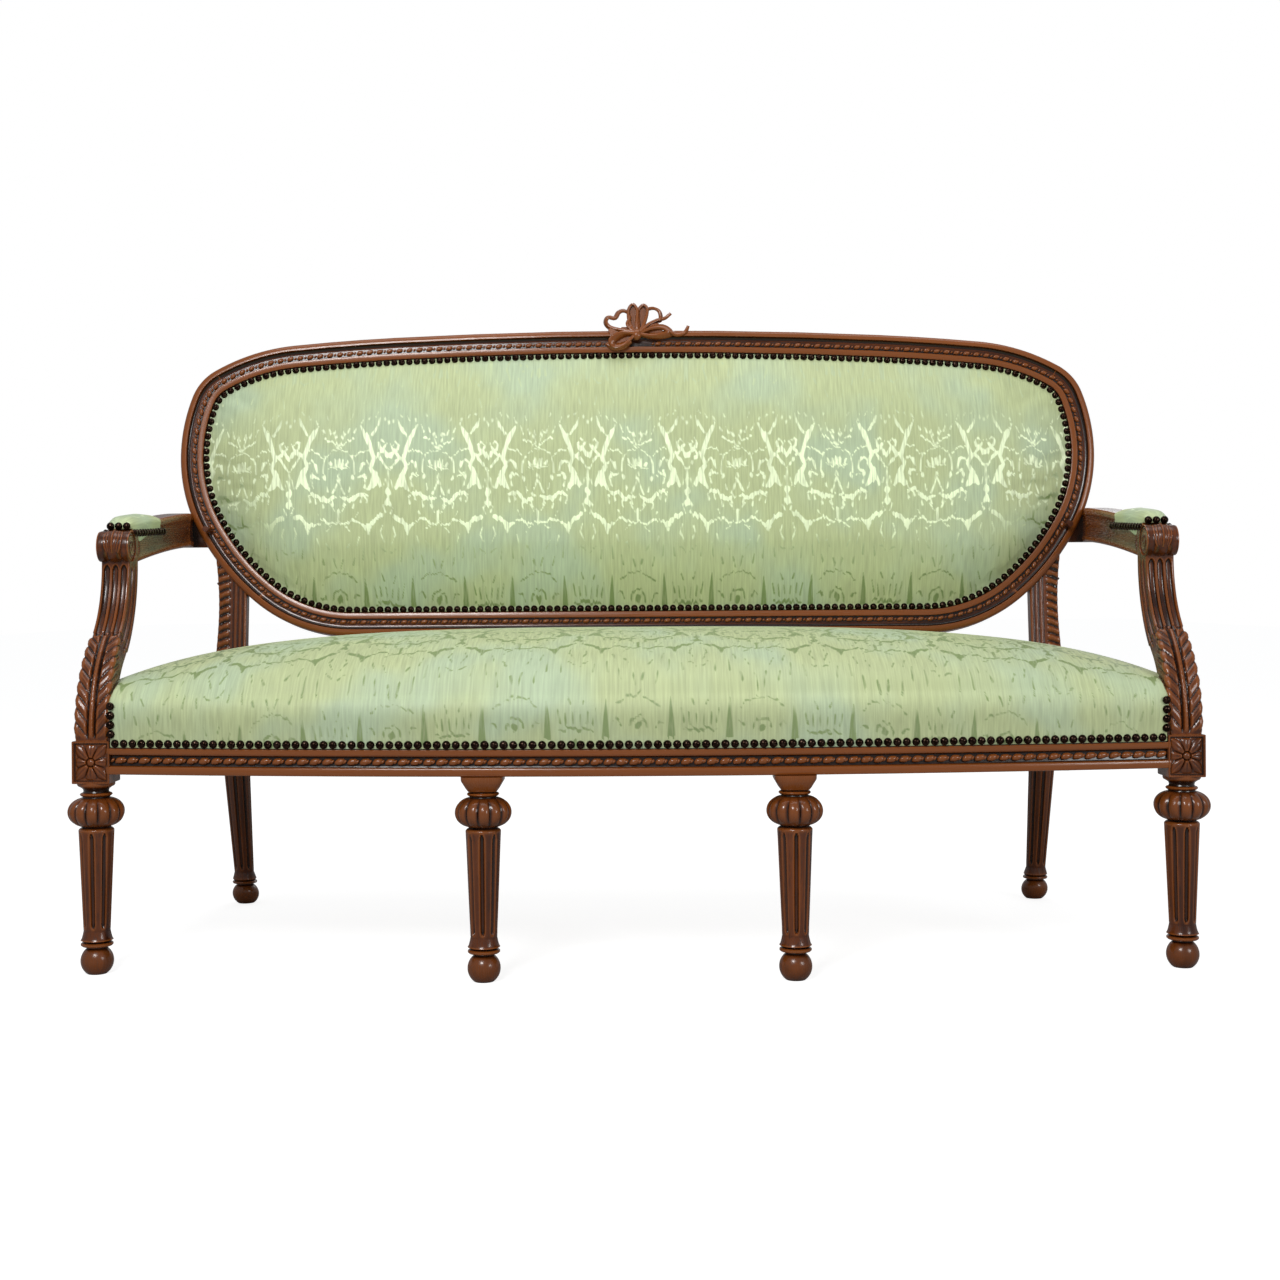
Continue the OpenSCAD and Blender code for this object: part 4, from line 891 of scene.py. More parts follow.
@dataclass(frozen=True)
class Plan:
    """Sizes that the pieces share with the CAD source, in millimetres.

    The front corner legs stand at a depth of 0, and shift takes depths to the frame's origin.
    """

    shift: float = -246.6
    corner_x: float = 773.0
    inner_x: float = 216.0
    rear_x: float = 700.0
    seat_depth: float = 515.0
    bow: float = 72.0
    rail_z: float = 285.0
    rail_h: float = 80.0
    rail_t: float = 42.0
    block_w: float = 53.0
    block_h: float = 60.0
    block_top: float = 332.0
    rear_w: float = 62.0
    rear_t: float = 48.0
    fabric_in: float = 3.2  # depth of the flat that the cloth is nailed on
    nail_z: float = 329.0
    soft: float = 0.5  # gap between the cloth and the wood under it
    cover_t: float = 2.6

    @property
    def rail_top(self) -> float:
        """Height of the top of the rails."""
        return self.rail_z + self.rail_h

    @property
    def side_run(self) -> float:
        """Depth from the rear face of a corner block to the front face of a rear leg."""
        return self.seat_depth - self.rear_t / 2 - self.block_w / 2

    @property
    def bow_r(self) -> float:
        """Radius of the front rail's middle line in plan."""
        return (self.corner_x ** 2 + self.bow ** 2) / (2 * self.bow)

    @property
    def bow_y(self) -> float:
        """Centre of that arc."""
        return self.bow_r - self.bow

    @property
    def block_in(self) -> float:
        """Inner face of a corner block."""
        return self.corner_x - self.block_w / 2

    @property
    def side_turn(self) -> float:
        """Angle by which a side rail runs in, in radians."""
        inwards = (self.corner_x + self.block_w / 2) - (self.rear_x + self.rear_w / 2)
        return math.atan2(inwards, self.side_run)

    def side_at(self, y: Array | float) -> Array | float:
        """Outer face of a side rail at a depth."""
        return self.corner_x + self.block_w / 2 - (y - self.block_w / 2) * math.tan(self.side_turn)

    def front_at(self, x: Array | float, radius: float) -> Array | float:
        """Depth of the bowed front at a place across, for an arc of some radius."""
        return self.bow_y - np.sqrt(radius ** 2 - np.asarray(x, float) ** 2)


PLAN = Plan()
SHIFT = np.array([0.0, PLAN.shift, 0.0])


@dataclass
class BackOutline:
    """The back frame's outline: tangent arcs, clockwise from the top centre, in the back's plane."""

    width: float = 1585.0
    height: float = 534.0
    low: float = 466.0
    front: float = 500.0
    rake: float = 6.5
    turns: tuple = (2.8, 2.8, 24.4, 40.0, 20.0, 28.0, 22.0, 40.0)
    inner_radii: tuple = (3600.0, 340.0, 90.0, 300.0, 280.0, 420.0)
    widest: int = 5
    points: Array = None
    inwards: Array = None
    joints: list = field(default_factory=list)

    def __post_init__(self) -> None:
        """Solves the first and last radii and lays out the whole loop as points."""
        heads = np.radians(np.concatenate([[0], np.cumsum(self.turns)]))
        runs, rises = np.diff(np.sin(heads)), np.diff(np.cos(heads))
        inner = np.array(self.inner_radii)
        crest = (self.width / 2 - inner[:self.widest - 1] @ runs[1:self.widest]) / runs[0]
        base = (self.height + crest * rises[0] + inner @ rises[1:-1]) / -rises[-1]
        x, y, half, normals = 0.0, self.height, [], []
        for i, r in enumerate((crest, *self.inner_radii, base)):
            centre = (x - r * math.sin(heads[i]), y - r * math.cos(heads[i]))
            self.joints.append(len(half))
            steps = max(3, int(self.turns[i] / 2))
            for a in np.linspace(heads[i], heads[i + 1], steps, endpoint=False):
                half.append((centre[0] + r * math.sin(a), centre[1] + r * math.cos(a)))
                normals.append((-math.sin(a), -math.cos(a)))
            x, y = x + r * runs[i], y + r * rises[i]
        self.joints.append(len(half))
        straight = [(x * share, 0.0) for share in np.linspace(1, 0, 13)]
        half, normals = np.array(half + straight), np.array(normals + [(0.0, 1.0)] * len(straight))
        flip = np.array([-1.0, 1.0])
        self.points = np.concatenate([half, half[-2:0:-1] * flip])
        self.inwards = np.concatenate([normals, normals[-2:0:-1] * flip])

    def ring(self, inset: float, count: int) -> tuple[Array, Array]:
        """Even places round the outline at an inset."""
        place, inward, _ = even_places(self.points + self.inwards * inset, self.inwards, count)
        return place, inward

    def at(self, numbers: Array, inset: float) -> Array:
        """Places at an inset, at numbers of the outline's points that may lie between two of them."""
        low = np.floor(numbers).astype(int)
        share = (numbers - low)[:, None]
        line = self.points + self.inwards * inset
        return line[low % len(line)] * (1 - share) + line[(low + 1) % len(line)] * share

    def walk(self, first: float, last: float, count: int, inset: float) -> Array:
        """Numbers of the outline's points at even steps from the first to the last, at an inset."""
        fine = np.linspace(first, last, 40 * count)
        run = travel(self.at(fine, inset))
        return np.interp(np.linspace(0, run[-1], count), run, fine)

    def length(self, inset: float) -> float:
        """Length of the whole outline at an inset."""
        line = self.points + self.inwards * inset
        return float(np.linalg.norm(line - np.roll(line, -1, axis=0), axis=1).sum())

    @property
    def slope(self) -> float:
        """Angle of the back's plane from the floor, in radians."""
        return math.radians(90 - self.rake)

    def to_room(self, flat: Array) -> Array:
        """Takes points of the back's plane (across, up the slope, forwards) into the room."""
        cos, sin = math.cos(self.slope), math.sin(self.slope)
        x, y, z = flat[..., 0], flat[..., 1], flat[..., 2]
        return np.stack([x, self.front + PLAN.shift + y * cos - z * sin, self.low + y * sin + z * cos], -1)

    def frames(self, inward: Array, flip: float = 1.0) -> Array:
        """Turns that lay a unit's x along the outline and its z forwards.

        Args:
            inward: Inward directions in the back's plane.
            flip: 1 for a unit on the front, -1 for one on the rear.

        Returns:
            One 3 by 3 matrix for each direction.
        """
        cos, sin = math.cos(self.slope), math.sin(self.slope)
        right, up = np.array([1.0, 0, 0]), np.array([0, cos, sin])
        z = np.array([0, -sin, cos]) * flip
        rows = []
        for n in inward:
            y = right * n[0] + up * n[1]
            rows.append(np.stack([np.cross(y, z), y, z], 1))
        return np.array(rows)


OUTLINE = BackOutline()
OUTLINE_LAST = len(OUTLINE.points)


# ---------------------------------------------------------------- back


@dataclass
class BackFrame:
    """The moulded medallion frame of the back, with its carved row of beads."""

    wood: bpy.types.Material
    thick: float = 36.0
    wide: float = 62.0
    bead_in: float = 24.0
    bead_pitch: float = 17.4
    bead_z: float = -6.4
    bow_half: float = 30.0

    def section(self) -> Array:
        """Lists the moulding's points: a rounded edge, a fillet, a cove, a channel and a band.

        Returns:
            Points (inwards from the outer edge, forwards).
        """
        rear, edge = -self.thick, self.wide
        rounded = [(7.5 - 7.5 * math.cos(a), -9.5 + 9.3 * math.sin(a)) for a in np.radians([15, 30, 45, 60, 75])]
        cove = [(12 + 6.2 * (1 - math.cos(a)), -2.2 - 4.6 * math.sin(a)) for a in np.radians([10, 30, 50, 70, 88])]
        return np.array([
            (0.6, rear), (0, rear + 0.6), (0, -9.5), *rounded,
            (8.6, 0), (10.8, 0), (11.4, -0.5), (11.6, -1.8), *cove,
            (18.6, -7.4), (29.4, -7.4), (29.8, -3.2), (30.6, -2.2), (38.6, -1.9), (39.6, -2.4), (40, -3.4),
            (40, -8), (edge - 0.6, -8), (edge, -8.6), (edge, rear + 0.6), (edge - 0.6, rear)])

    def member(self, name: str, first: int, last: int, *nodes: str) -> bpy.types.Object:
        """Sweeps the moulding along a stretch of the outline.

        Args:
            name: Name of the piece.
            first: Number of the outline point where it starts.
            last: Number of the point where it ends.
            *nodes: CAD nodes that it replaces.

        Returns:
            The piece.
        """
        index = np.arange(first, last + 1) % OUTLINE_LAST
        places, inwards = OUTLINE.points[index], OUTLINE.inwards[index]
        section = self.section()
        flat = np.zeros((len(index), len(section), 3))
        flat[..., :2] = places[:, None] + inwards[:, None] * section[None, :, :1]
        flat[..., 2] = section[None, :, 1]
        grain = np.zeros_like(flat)
        grain[..., 0] = travel(places)[:, None] + first * 40.0
        grain[..., 1:] = section[None]
        piece = mesh_piece(name, [shell(OUTLINE.to_room(flat))], grain.reshape(-1, 3), 32.0)
        return finish_piece(piece, self.wood, Slot.WALNUT, *nodes)

    def beads(self) -> None:
        """Carves the row of beads and pearls round the frame, apart from the place of the bow."""
        count = round(OUTLINE.length(self.bead_in) / self.bead_pitch)
        place, inward = OUTLINE.ring(self.bead_in, count)
        clear = (np.abs(place[:, 0]) > self.bow_half) | (place[:, 1] < OUTLINE.height / 2)
        room = OUTLINE.to_room(np.column_stack([place, np.full(count, self.bead_z)]))[clear]
        turns = OUTLINE.frames(inward)[clear]
        beads = Repeater(1.0, 0.02, 5).build("carved_beads_of_back", bead_unit(), room, turns, self.wood)
        finish_piece(beads, self.wood, Slot.WALNUT)

    def build(self) -> None:
        """Builds the four members and the carved row."""
        corner, foot = OUTLINE.joints[3], OUTLINE.joints[7]
        self.member("top_rail", -corner, corner, "back_top_rail")
        self.member("stile_right", corner, foot, "back_stile_right")
        self.member("stile_left", OUTLINE_LAST - foot, OUTLINE_LAST - corner, "back_stile_left")
        self.member("bottom_rail", foot, OUTLINE_LAST - foot, "back_bottom_rail")
        self.beads()


# The bow's ribbons: points (across, up from the crest, forwards), widths at the start, middle and end,
# twist in degrees and number of stations
RIBBONS = (
    # Two upright loops
    (((-3, -8, 2), (-13, 14, -4), (-14, 36, -8), (-6, 45, -8), (1, 34, -5), (0, 8, 0), (2, -8, 2)), (9, 19, 9)),
    (((2, -8, 2), (3, 12, -4), (3, 34, -8), (12, 44, -8), (19, 35, -6), (14, 12, -2), (4, -8, 3)), (9, 18, 9)),
    # Large loop on the left, and a smaller one on the right with its end
    (((-4, -6, 4), (-26, -2, 0), (-46, 4, -4), (-54, 14, -6), (-50, 24, -8), (-38, 22, -6), (-32, 32, -8),
      (-24, 36, -9), (-15, 32, -8), (-12, 20, -4), (-16, 8, 0), (-6, -6, 3)), (9, 13, 8), 30.0, 60),
    (((6, -6, 4), (20, 8, -2), (34, 16, -6), (42, 20, -9), (40, 34, -10), (30, 40, -10), (18, 38, -8)),
     (8, 9, 7), -24.0),
    (((40, 20, -9), (50, 22, -8), (60, 30, -6)), (6, 5, 2), 0.0, 12),
    # Low loops, each with a curling end
    (((6, -8, 4), (26, 2, 2), (46, 4, -1), (58, -6, 0), (46, -12, 2), (24, -14, 4), (6, -10, 5)), (11, 13, 9),
     55.0),
    (((58, -4, 1), (70, -10, 2), (84, -6, 0), (90, 6, -4)), (10, 8, 4), 60.0, 20),
    (((-4, -10, 5), (-24, -10, 7), (-42, -20, 7), (-38, -30, 5), (-22, -28, 7), (-6, -14, 6)), (11, 14, 9), 62.0),
    (((-10, -24, 6), (-24, -32, 6), (-40, -34, 4), (-52, -26, 3)), (8, 10, 5), 70.0, 20),
)
# Plates that close the loops: rear and front, then points (across, up from the crest)
PLATES = (
    (-18.0, -2.0, ((-30, 0.3), (30, 0.3), (26, 5), (-26, 5))),
    (-8.5, -5.0, ((-4, -9), (5, -9), (15, 12), (19, 34), (12, 42), (3, 36), (-6, 42), (-14, 34), (-13, 14))),
    (-6.0, -0.5, ((4, -9), (24, -12), (44, -10), (46, 2), (38, 11), (28, 10), (14, 2))),
    (-4.0, 1.5, ((-2, -10), (-22, -10), (-46, 3), (-50, 0), (-40, -20), (-36, -28), (-22, -26), (-6, -13))),
)


@dataclass
class CrestBow:
    """Ribbon bow carved in the round on the crest: folded loops, a knot and curling ends."""

    wood: bpy.types.Material
    thick: float = 5.4

    def curve(self, path: Sequence[tuple[float, float, float]], steps: int) -> Array:
        """Draws a smooth curve through the points of a path.

        Args:
            path: Points (across, up from the crest, forwards).
            steps: Number of stations.

        Returns:
            One point for each station.
        """
        knots = np.array(path, float)
        padded = np.vstack([2 * knots[0] - knots[1], knots, 2 * knots[-1] - knots[-2]])
        centre = []
        for s in np.linspace(0, len(knots) - 1, steps):
            i = min(int(s), len(knots) - 2)
            f = s - i
            a, b, c, d = padded[i:i + 4]
            centre.append(0.5 * (2 * b + (c - a) * f + (2 * a - 5 * b + 4 * c - d) * f ** 2
                                 + (3 * b - a - 3 * c + d) * f ** 3))
        return np.array(centre)

    def ribbon(self, path: Sequence[tuple[float, float, float]], wide: Sequence[float], lean: float = 0.0,
               steps: int = 40) -> tuple[Array, list]:
        """Sweeps a flat band along a curve of the back's plane.

        Args:
            path: Points (across, up from the crest, forwards).
            wide: Width of the band, forwards, at the path's start, middle and end.
            lean: Twist of the band about its path, in degrees.
            steps: Number of stations.

        Returns:
            The vertices and faces.
        """
        centre = self.curve(path, steps)
        tangent = np.gradient(centre, axis=0)
        tangent /= np.linalg.norm(tangent, axis=1, keepdims=True)
        widths = np.interp(np.linspace(0, 2, steps), [0, 1, 2], wide)
        section = [(-0.5, -0.3), (-0.38, -0.5), (0.38, -0.5), (0.5, -0.3), (0.5, 0.3), (0.38, 0.5), (0, 0.25),
                   (-0.38, 0.5), (-0.5, 0.3)]
        forwards, rows = np.array([0, 0, 1.0]), []
        for c, d, w, s in zip(centre, tangent, widths, np.linspace(0, 1, steps)):
            a = math.radians(lean) * math.sin(math.pi * s)
            face = forwards * math.cos(a) + np.cross(d, forwards) * math.sin(a)
            face -= d * face.dot(d)
            face /= np.linalg.norm(face)
            side = np.cross(d, face)
            rows.append([c + face * (w * p) + side * (self.thick * q) for p, q in section])
        flat = np.array(rows)
        flat[..., 1] += OUTLINE.height
        return shell(OUTLINE.to_room(flat))

    def knot(self) -> tuple[Array, list]:
        """Turns the lobed knot in the bow's middle.

        Returns:
            The vertices and faces.
        """
        a = np.linspace(0, math.pi, 9)
        profile = [(max(8.5 * math.sin(t), 0.05) * (1 + 0.08 * math.cos(5 * t)), -9 * math.cos(t)) for t in a]
        verts, faces = lathe(profile, 20)
        flat = verts[:, [0, 2, 1]] * np.array([1.0, 1.1, 0.8]) + np.array([0, OUTLINE.height - 11, 5.0])
        return OUTLINE.to_room(flat), faces

    def plate(self, low: float, high: float, outline: Sequence[tuple[float, float]]) -> tuple[Array, list]:
        """Cuts a flat plate of the back's plane, between two depths."""
        flat = np.array([[(x, OUTLINE.height + y, z) for x, y in outline] for z in (low, high)])
        return shell(OUTLINE.to_room(flat))

    def build(self) -> None:
        """Builds the bow as one carved piece."""
        parts = [*(self.ribbon(*row) for row in RIBBONS), self.knot(), *(self.plate(*row) for row in PLATES)]
        carve("ribbon_bow", parts, self.wood, Grain.FORWARDS, 50.0, "crest_bow")


# ---------------------------------------------------------------- seat frame


@dataclass
class SeatRails:
    """The bowed front rail and the side rails, with a band, a carved channel and a flat for the nails."""

    wood: bpy.types.Material
    bead_pitch: float = 17.6
    bead_rise: float = 20.0
    bead_in: float = 4.2
    bead_size: float = 1.22
    bead_free: float = 12.0
    side_beads: int = 24
    side_free: float = 14.0

    def section(self) -> Array:
        """Lists the moulding's points.

        Returns:
            Points (outwards from the rail's middle, upwards from its underside).
        """
        f, h, flat = PLAN.rail_t / 2, PLAN.rail_h, PLAN.rail_t / 2 - PLAN.fabric_in
        return np.array([
            (-f + 0.6, 0), (f - 2.4, 0), (f - 0.8, 0.6), (f, 2.2), (f, 9.4), (f - 0.7, 10.8), (f - 2.2, 11.6),
            (f - 4.6, 12.6), (f - 5.4, 14), (f - 5.4, 26), (f - 4.4, 27.2), (f - 1.6, 28), (f - 0.4, 29.4), (f, 31),
            (f, 36), (f - 0.6, 37), (flat, 37), (flat, h - 4), (f - 6, h), (-f, h), (-f, 0.6)])

    def rail(self, name: str, places: Array, outwards: Array, *nodes: str) -> None:
        """Sweeps a rail along a path in plan.

        Args:
            name: Name of the piece.
            places: Points of the rail's middle line in plan.
            outwards: Outward direction at each point.
            *nodes: CAD nodes that it replaces.
        """
        section = self.section()
        rows = np.zeros((len(places), len(section), 3))
        rows[..., :2] = places[:, None] + outwards[:, None] * section[None, :, :1]
        rows[..., 2] = section[None, :, 1] + PLAN.rail_z
        grain = np.zeros_like(rows)
        grain[..., 0] = travel(places)[:, None]
        grain[..., 1:] = section[None]
        piece = mesh_piece(name, [shell(rows + SHIFT)], grain.reshape(-1, 3), 30.0)
        finish_piece(piece, self.wood, Slot.WALNUT, *nodes)

    def front_line(self, count: int, half: float, out: float) -> tuple[Array, Array]:
        """Even places along the bowed front.

        Args:
            count: Number of places.
            half: Half the run across.
            out: Distance outwards from the rail's middle line.

        Returns:
            The places and their outward directions in plan.
        """
        r = PLAN.bow_r + out
        a = np.linspace(-1, 1, count) * math.asin(half / r)
        outwards = np.stack([np.sin(a), -np.cos(a)], 1)
        return np.array([0, PLAN.bow_y]) + outwards * r, outwards

    def side_line(self, count: int, side: float, out: float, margin: float = 0.0) -> tuple[Array, Array]:
        """Even places along a side rail.

        Args:
            count: Number of places.
            side: -1 for the left and 1 for the right.
            out: Distance outwards from the rail's middle line.
            margin: Run left free at both ends.

        Returns:
            The places and their outward directions in plan.
        """
        t = PLAN.side_turn
        outward = np.array([math.cos(t), math.sin(t)])
        along = np.array([-math.sin(t), math.cos(t)])
        corner = np.array([PLAN.corner_x + PLAN.block_w / 2, PLAN.block_w / 2])
        at = np.linspace(margin, PLAN.side_run / math.cos(t) - margin, count)
        places = corner + along * at[:, None] + outward * (out - PLAN.rail_t / 2)
        flip = np.array([side, 1.0])
        return places * flip, np.broadcast_to(outward * flip, places.shape)

    def frames(self, outwards: Array) -> Array:
        """Turns that lay a unit's x along a rail and its z outwards."""
        down, rows = np.array([0, 0, -1.0]), []
        for x, y in outwards:
            z = np.array([x, y, 0.0])
            rows.append(np.stack([np.cross(down, z), down, z], 1))
        return np.array(rows)

    def beads(self) -> None:
        """Carves the row of beads and pearls along the three rails."""
        depth = PLAN.rail_t / 2 - self.bead_in
        count = round(2 * PLAN.block_in / self.bead_pitch) - 1
        lines = [self.front_line(count, PLAN.block_in - self.bead_free, depth)]
        lines += [self.side_line(self.side_beads, side, depth, self.side_free) for _, side in ARM_SIDES]
        flat, outwards = (np.concatenate(part) for part in zip(*lines))
        room = np.column_stack([flat, np.full(len(flat), PLAN.rail_z + self.bead_rise)]) + SHIFT
        beads = Repeater(self.bead_size, 0.02, 9).build("carved_beads_of_rails", bead_unit(), room,
                                                        self.frames(outwards), self.wood)
        finish_piece(beads, self.wood, Slot.WALNUT)

    def build(self) -> None:
        """Builds the rails and their carved row."""
        self.rail("rail_front", *self.front_line(49, PLAN.block_in, 0.0), "front_rail")
        for name, side in ARM_SIDES:
            self.rail("rail_" + name, *self.side_line(2, side, 0.0), "side_rail_" + name)
        self.beads()


# ---------------------------------------------------------------- legs


def fluted(theta: Array, radius: float, count: int, half: float, deep: float) -> Array:
    """Cuts flutes into a turning."""
    off = ((theta * count / math.tau + 0.5) % 1 - 0.5) * math.tau / count * radius
    return radius - deep * np.clip(1 - (off / half) ** 4, 0, 1)


@dataclass
class TurnedLeg:
    """A turned leg: ball foot, fluted shaft, lobed bulb and neck, with a carved block or a flared collar."""

    wood: bpy.types.Material
    bulb: float = 79.0
    bulb_h: float = 41.0
    neck_h: float = 22.0
    neck: float = 44.0
    shaft: float = 50.0
    ankle: float = 38.0
    ball: float = 46.0
    ball_h: float = 37.0
    flutes: int = 8
    flute_low: float = 66.0
    flute_free: float = 9.0
    flute_half: float = 3.4
    flute_deep: float = 3.6
    lobes: int = 13
    lobe_deep: float = 5.4
    around: int = 144
    edge: float = 3.6
    panel_deep: float = 4.4
    smooth: float = 38.0

    def profile(self, top: float) -> list[tuple[float, float]]:
        """Lists the rings of the turning from the floor up.

        Args:
            top: Height of its top.

        Returns:
            Radius and height of each ring.
        """
        b, c = top - self.bulb_h - self.neck_h, top - self.neck_h
        w, s, n = self.ankle / 2, self.shaft / 2, self.neck / 2
        ball_end, bulb_end, tuck = math.radians(54), math.radians(66), 0.4067
        points = [(0.02, 0.0), (13.4, 0.0)]
        points += [(self.ball / 2 * math.cos(a), self.ball_h / 2 * (1 + math.sin(a) / math.sin(ball_end)))
                   for a in np.radians(np.linspace(-52, 54, 15))]
        points += [(w - 5.4, 37.6), (w - 5, 38.6), (w + 1.6, 39.4), (w + 3.4, 41), (w + 3.4, 43), (w + 1.8, 44.4),
                   (w - 0.4, 45.2), (w + 0.6, 46.6)]
        points += [(w + 3.6 - 4.2 * t ** 0.6, 48 + 14 * t) for t in np.linspace(0, 1, 8)]
        points += [(w - 0.4 + (s - w) * t, 62.6 + (b - 68) * t) for t in np.linspace(0, 1, 56)]
        points += [(s - 0.8, b - 4.2), (s - 2.4, b - 2.6), (s - 4.6, b - 1.4), (s - 5.0, b - 0.6)]
        for a in np.radians(np.linspace(-64, 66, 35)):
            share = max(0.0, (math.cos(a) - tuck) / (1 - tuck))
            points.append((n - 3 + (self.bulb / 2 - n + 3) * share ** 0.8,
                           b + self.bulb_h / 2 * (1 + math.sin(a) / math.sin(bulb_end))))
        points += [(n - 3.4, c + 1.2), (n - 1.0, c + 2.6), (n + 0.6, c + 4.4), (n - 0.6, c + 6.2),
                   (n - 3.8, c + 7.4), (n - 4.6, c + 9.4), (n - 3.6, c + 12.4), (n - 0.6, c + 14.8),
                   (n + 3, c + 16.6), (n + 4.2, c + 18.4), (n + 4.2, top)]
        return points

    def turning(self, top: float) -> tuple[Array, list]:
        """Carves the turned part.

        Args:
            top: Height of its top.

        Returns:
            The vertices and faces, about the leg's axis.
        """
        theta = np.linspace(0, math.tau, self.around, endpoint=False)
        ridge = np.abs(np.sin(theta * self.lobes / 2)) ** 0.5
        bulb_z = top - self.bulb_h - self.neck_h
        low, high = self.flute_low, bulb_z - self.flute_free
        rows = []
        for r, z in self.profile(top):
            radius = np.full(self.around, r)
            if low < z < high:
                half = self.flute_half * math.sqrt(min(1.0, (z - low) / 5.0, (high - z) / 5.0))
                radius = fluted(theta, r, self.flutes, max(half, 0.1), self.flute_deep)
            if bulb_z < z < bulb_z + self.bulb_h:
                t = (z - bulb_z) / self.bulb_h
                radius = r - self.lobe_deep * math.sin(math.pi * t) ** 0.6 * (1 - ridge)
            rows.append(np.stack([radius * np.cos(theta), radius * np.sin(theta), np.full(self.around, z)], 1))
        return shell(np.array(rows))

    def rosette(self, width: float, height: float) -> tuple[Array, list]:
        """Carves an eight-petalled rosette that fills its panel, as a slab with its face towards +Z.

        Args:
            width: Width of its panel.
            height: Height of its panel.

        Returns:
            The vertices and faces, about the panel's middle.
        """
        n, petal_angle, button = 56, math.pi / 4, 5.8
        x, y = np.meshgrid(np.linspace(-1, 1, n) * width / 2, np.linspace(-1, 1, n) * height / 2, indexing="ij")
        angle, r = np.arctan2(y, x), np.hypot(x, y)
        edge = 1 / np.maximum(np.abs(np.cos(angle)) / (width / 2), np.abs(np.sin(angle)) / (height / 2))
        side = np.abs(((angle / petal_angle + 0.5) % 1) - 0.5) * 2
        share = r / (edge * (1 - 0.20 * side ** 3))
        petal = np.clip(1 - side ** 2.4, 0, 1) ** 0.5 * np.sin(math.pi * np.clip(share, 0, 1) ** 0.85) ** 0.55
        vein = np.exp(-(side * r / 3.0) ** 2) * smoothstep(0.3, 0.5, share)
        z = 0.2 + 4.4 * petal - 0.9 * vein * petal
        middle = 5.4 * np.sqrt(np.clip(1 - (r / button) ** 2, 0, 1))
        z = np.where(r < 7.5, np.maximum(z * smoothstep(5.6, 7.5, r), middle), z)
        return closed_pair(np.stack([x, y, z], -1), np.stack([x, y, np.full_like(z, -1.0)], -1))

    def block(self) -> list[tuple[Array, list]]:
        """Builds the square block with a sunk panel and a rosette on its front and outer faces.

        Returns:
            The vertices and faces of its skins, standing on the origin.
        """
        w, h, edge, deep = PLAN.block_w, PLAN.block_h, self.edge, self.panel_deep
        work = bmesh.new()
        bmesh.ops.create_cube(work, size=1.0, matrix=Matrix.Diagonal((w, w, h, 1)))
        panels = [f for f in work.faces if f.normal.y < -0.9 or f.normal.x > 0.9]
        for panel in panels:
            bmesh.ops.inset_individual(work, faces=[panel], thickness=edge, depth=0)
            bmesh.ops.inset_individual(work, faces=[panel], thickness=1.2, depth=-deep)
        outer = [e for e in work.edges if e.calc_face_angle(0) > 0.6]
        bmesh.ops.bevel(work, geom=outer, offset=0.7, segments=2, affect="EDGES")
        verts = np.array([v.co[:] for v in work.verts])
        faces = [tuple(v.index for v in f.verts) for f in work.faces]
        work.free()
        free = 2 * edge + 2.6
        flower, petals = self.rosette(w - free, h - free)
        front = np.stack([flower[:, 0], -w / 2 + deep - flower[:, 2], flower[:, 1] + h / 2], 1)
        side = np.stack([w / 2 - deep + flower[:, 2], flower[:, 0], flower[:, 1] + h / 2], 1)
        return [(verts + np.array([0, 0, h / 2]), faces), (front, petals), (side, petals)]

    def collar(self, top: float) -> tuple[Array, list]:
        """Flares a rounded square collar up to the rail.

        Args:
            top: Height of the turning's top.

        Returns:
            The vertices and faces, about the leg's axis.
        """
        a = np.linspace(0, math.tau, 40, endpoint=False)
        ring = np.sign([np.cos(a), np.sin(a)]) * np.abs([np.cos(a), np.sin(a)]) ** 0.4
        levels = ((20, top - 13), (23, top - 9), (26.5, top - 3), (29.4, top + 2), (29.8, PLAN.rail_z - 0.4))
        return shell(np.array([np.column_stack([*(ring * half), np.full(len(a), z)]) for half, z in levels]))

    def build(self) -> None:
        """Builds the four front legs."""
        block_z, rail_top = PLAN.block_top - PLAN.block_h, PLAN.rail_z - 8
        for name, side in ARM_SIDES:
            parts = [self.turning(block_z + 0.6)] + [(v + np.array([0, 0, block_z]), f) for v, f in self.block()]
            parts = mirrored(parts, side, (PLAN.corner_x, PLAN.shift, 0))
            carve("corner_leg_" + name, parts, self.wood, Grain.UPRIGHT, self.smooth, "front_leg_" + name)
            y = float(PLAN.front_at(PLAN.inner_x, PLAN.bow_r))
            parts = [self.turning(rail_top), self.collar(rail_top)]
            parts = mirrored(parts, side, (PLAN.inner_x, y + PLAN.shift, 0))
            carve("middle_leg_" + name, parts, self.wood, Grain.UPRIGHT, self.smooth, "inner_leg_" + name)


def rounded_box(half_x: float, half_y: float, corner: float, count: int) -> tuple[Array, Array, Array]:
    """Walks evenly round a rectangle with rounded corners, from the middle of its +Y side.

    Args:
        half_x: Half its size across.
        half_y: Half its size forwards.
        corner: Radius of its corners.
        count: Number of places.

    Returns:
        The places, their outward directions, and how far round from the start each is, to either side.
    """
    line, normals = [(0.0, half_y)], [(0.0, 1.0)]
    for start, sx, sy in ((90, 1, 1), (0, 1, -1), (-90, -1, -1), (-180, -1, 1)):
        for a in np.radians(np.linspace(start, start - 90, 7)):
            line.append((sx * (half_x - corner) + corner * math.cos(a),
                         sy * (half_y - corner) + corner * math.sin(a)))
            normals.append((math.cos(a), math.sin(a)))
    return even_places(np.array(line), np.array(normals), count)


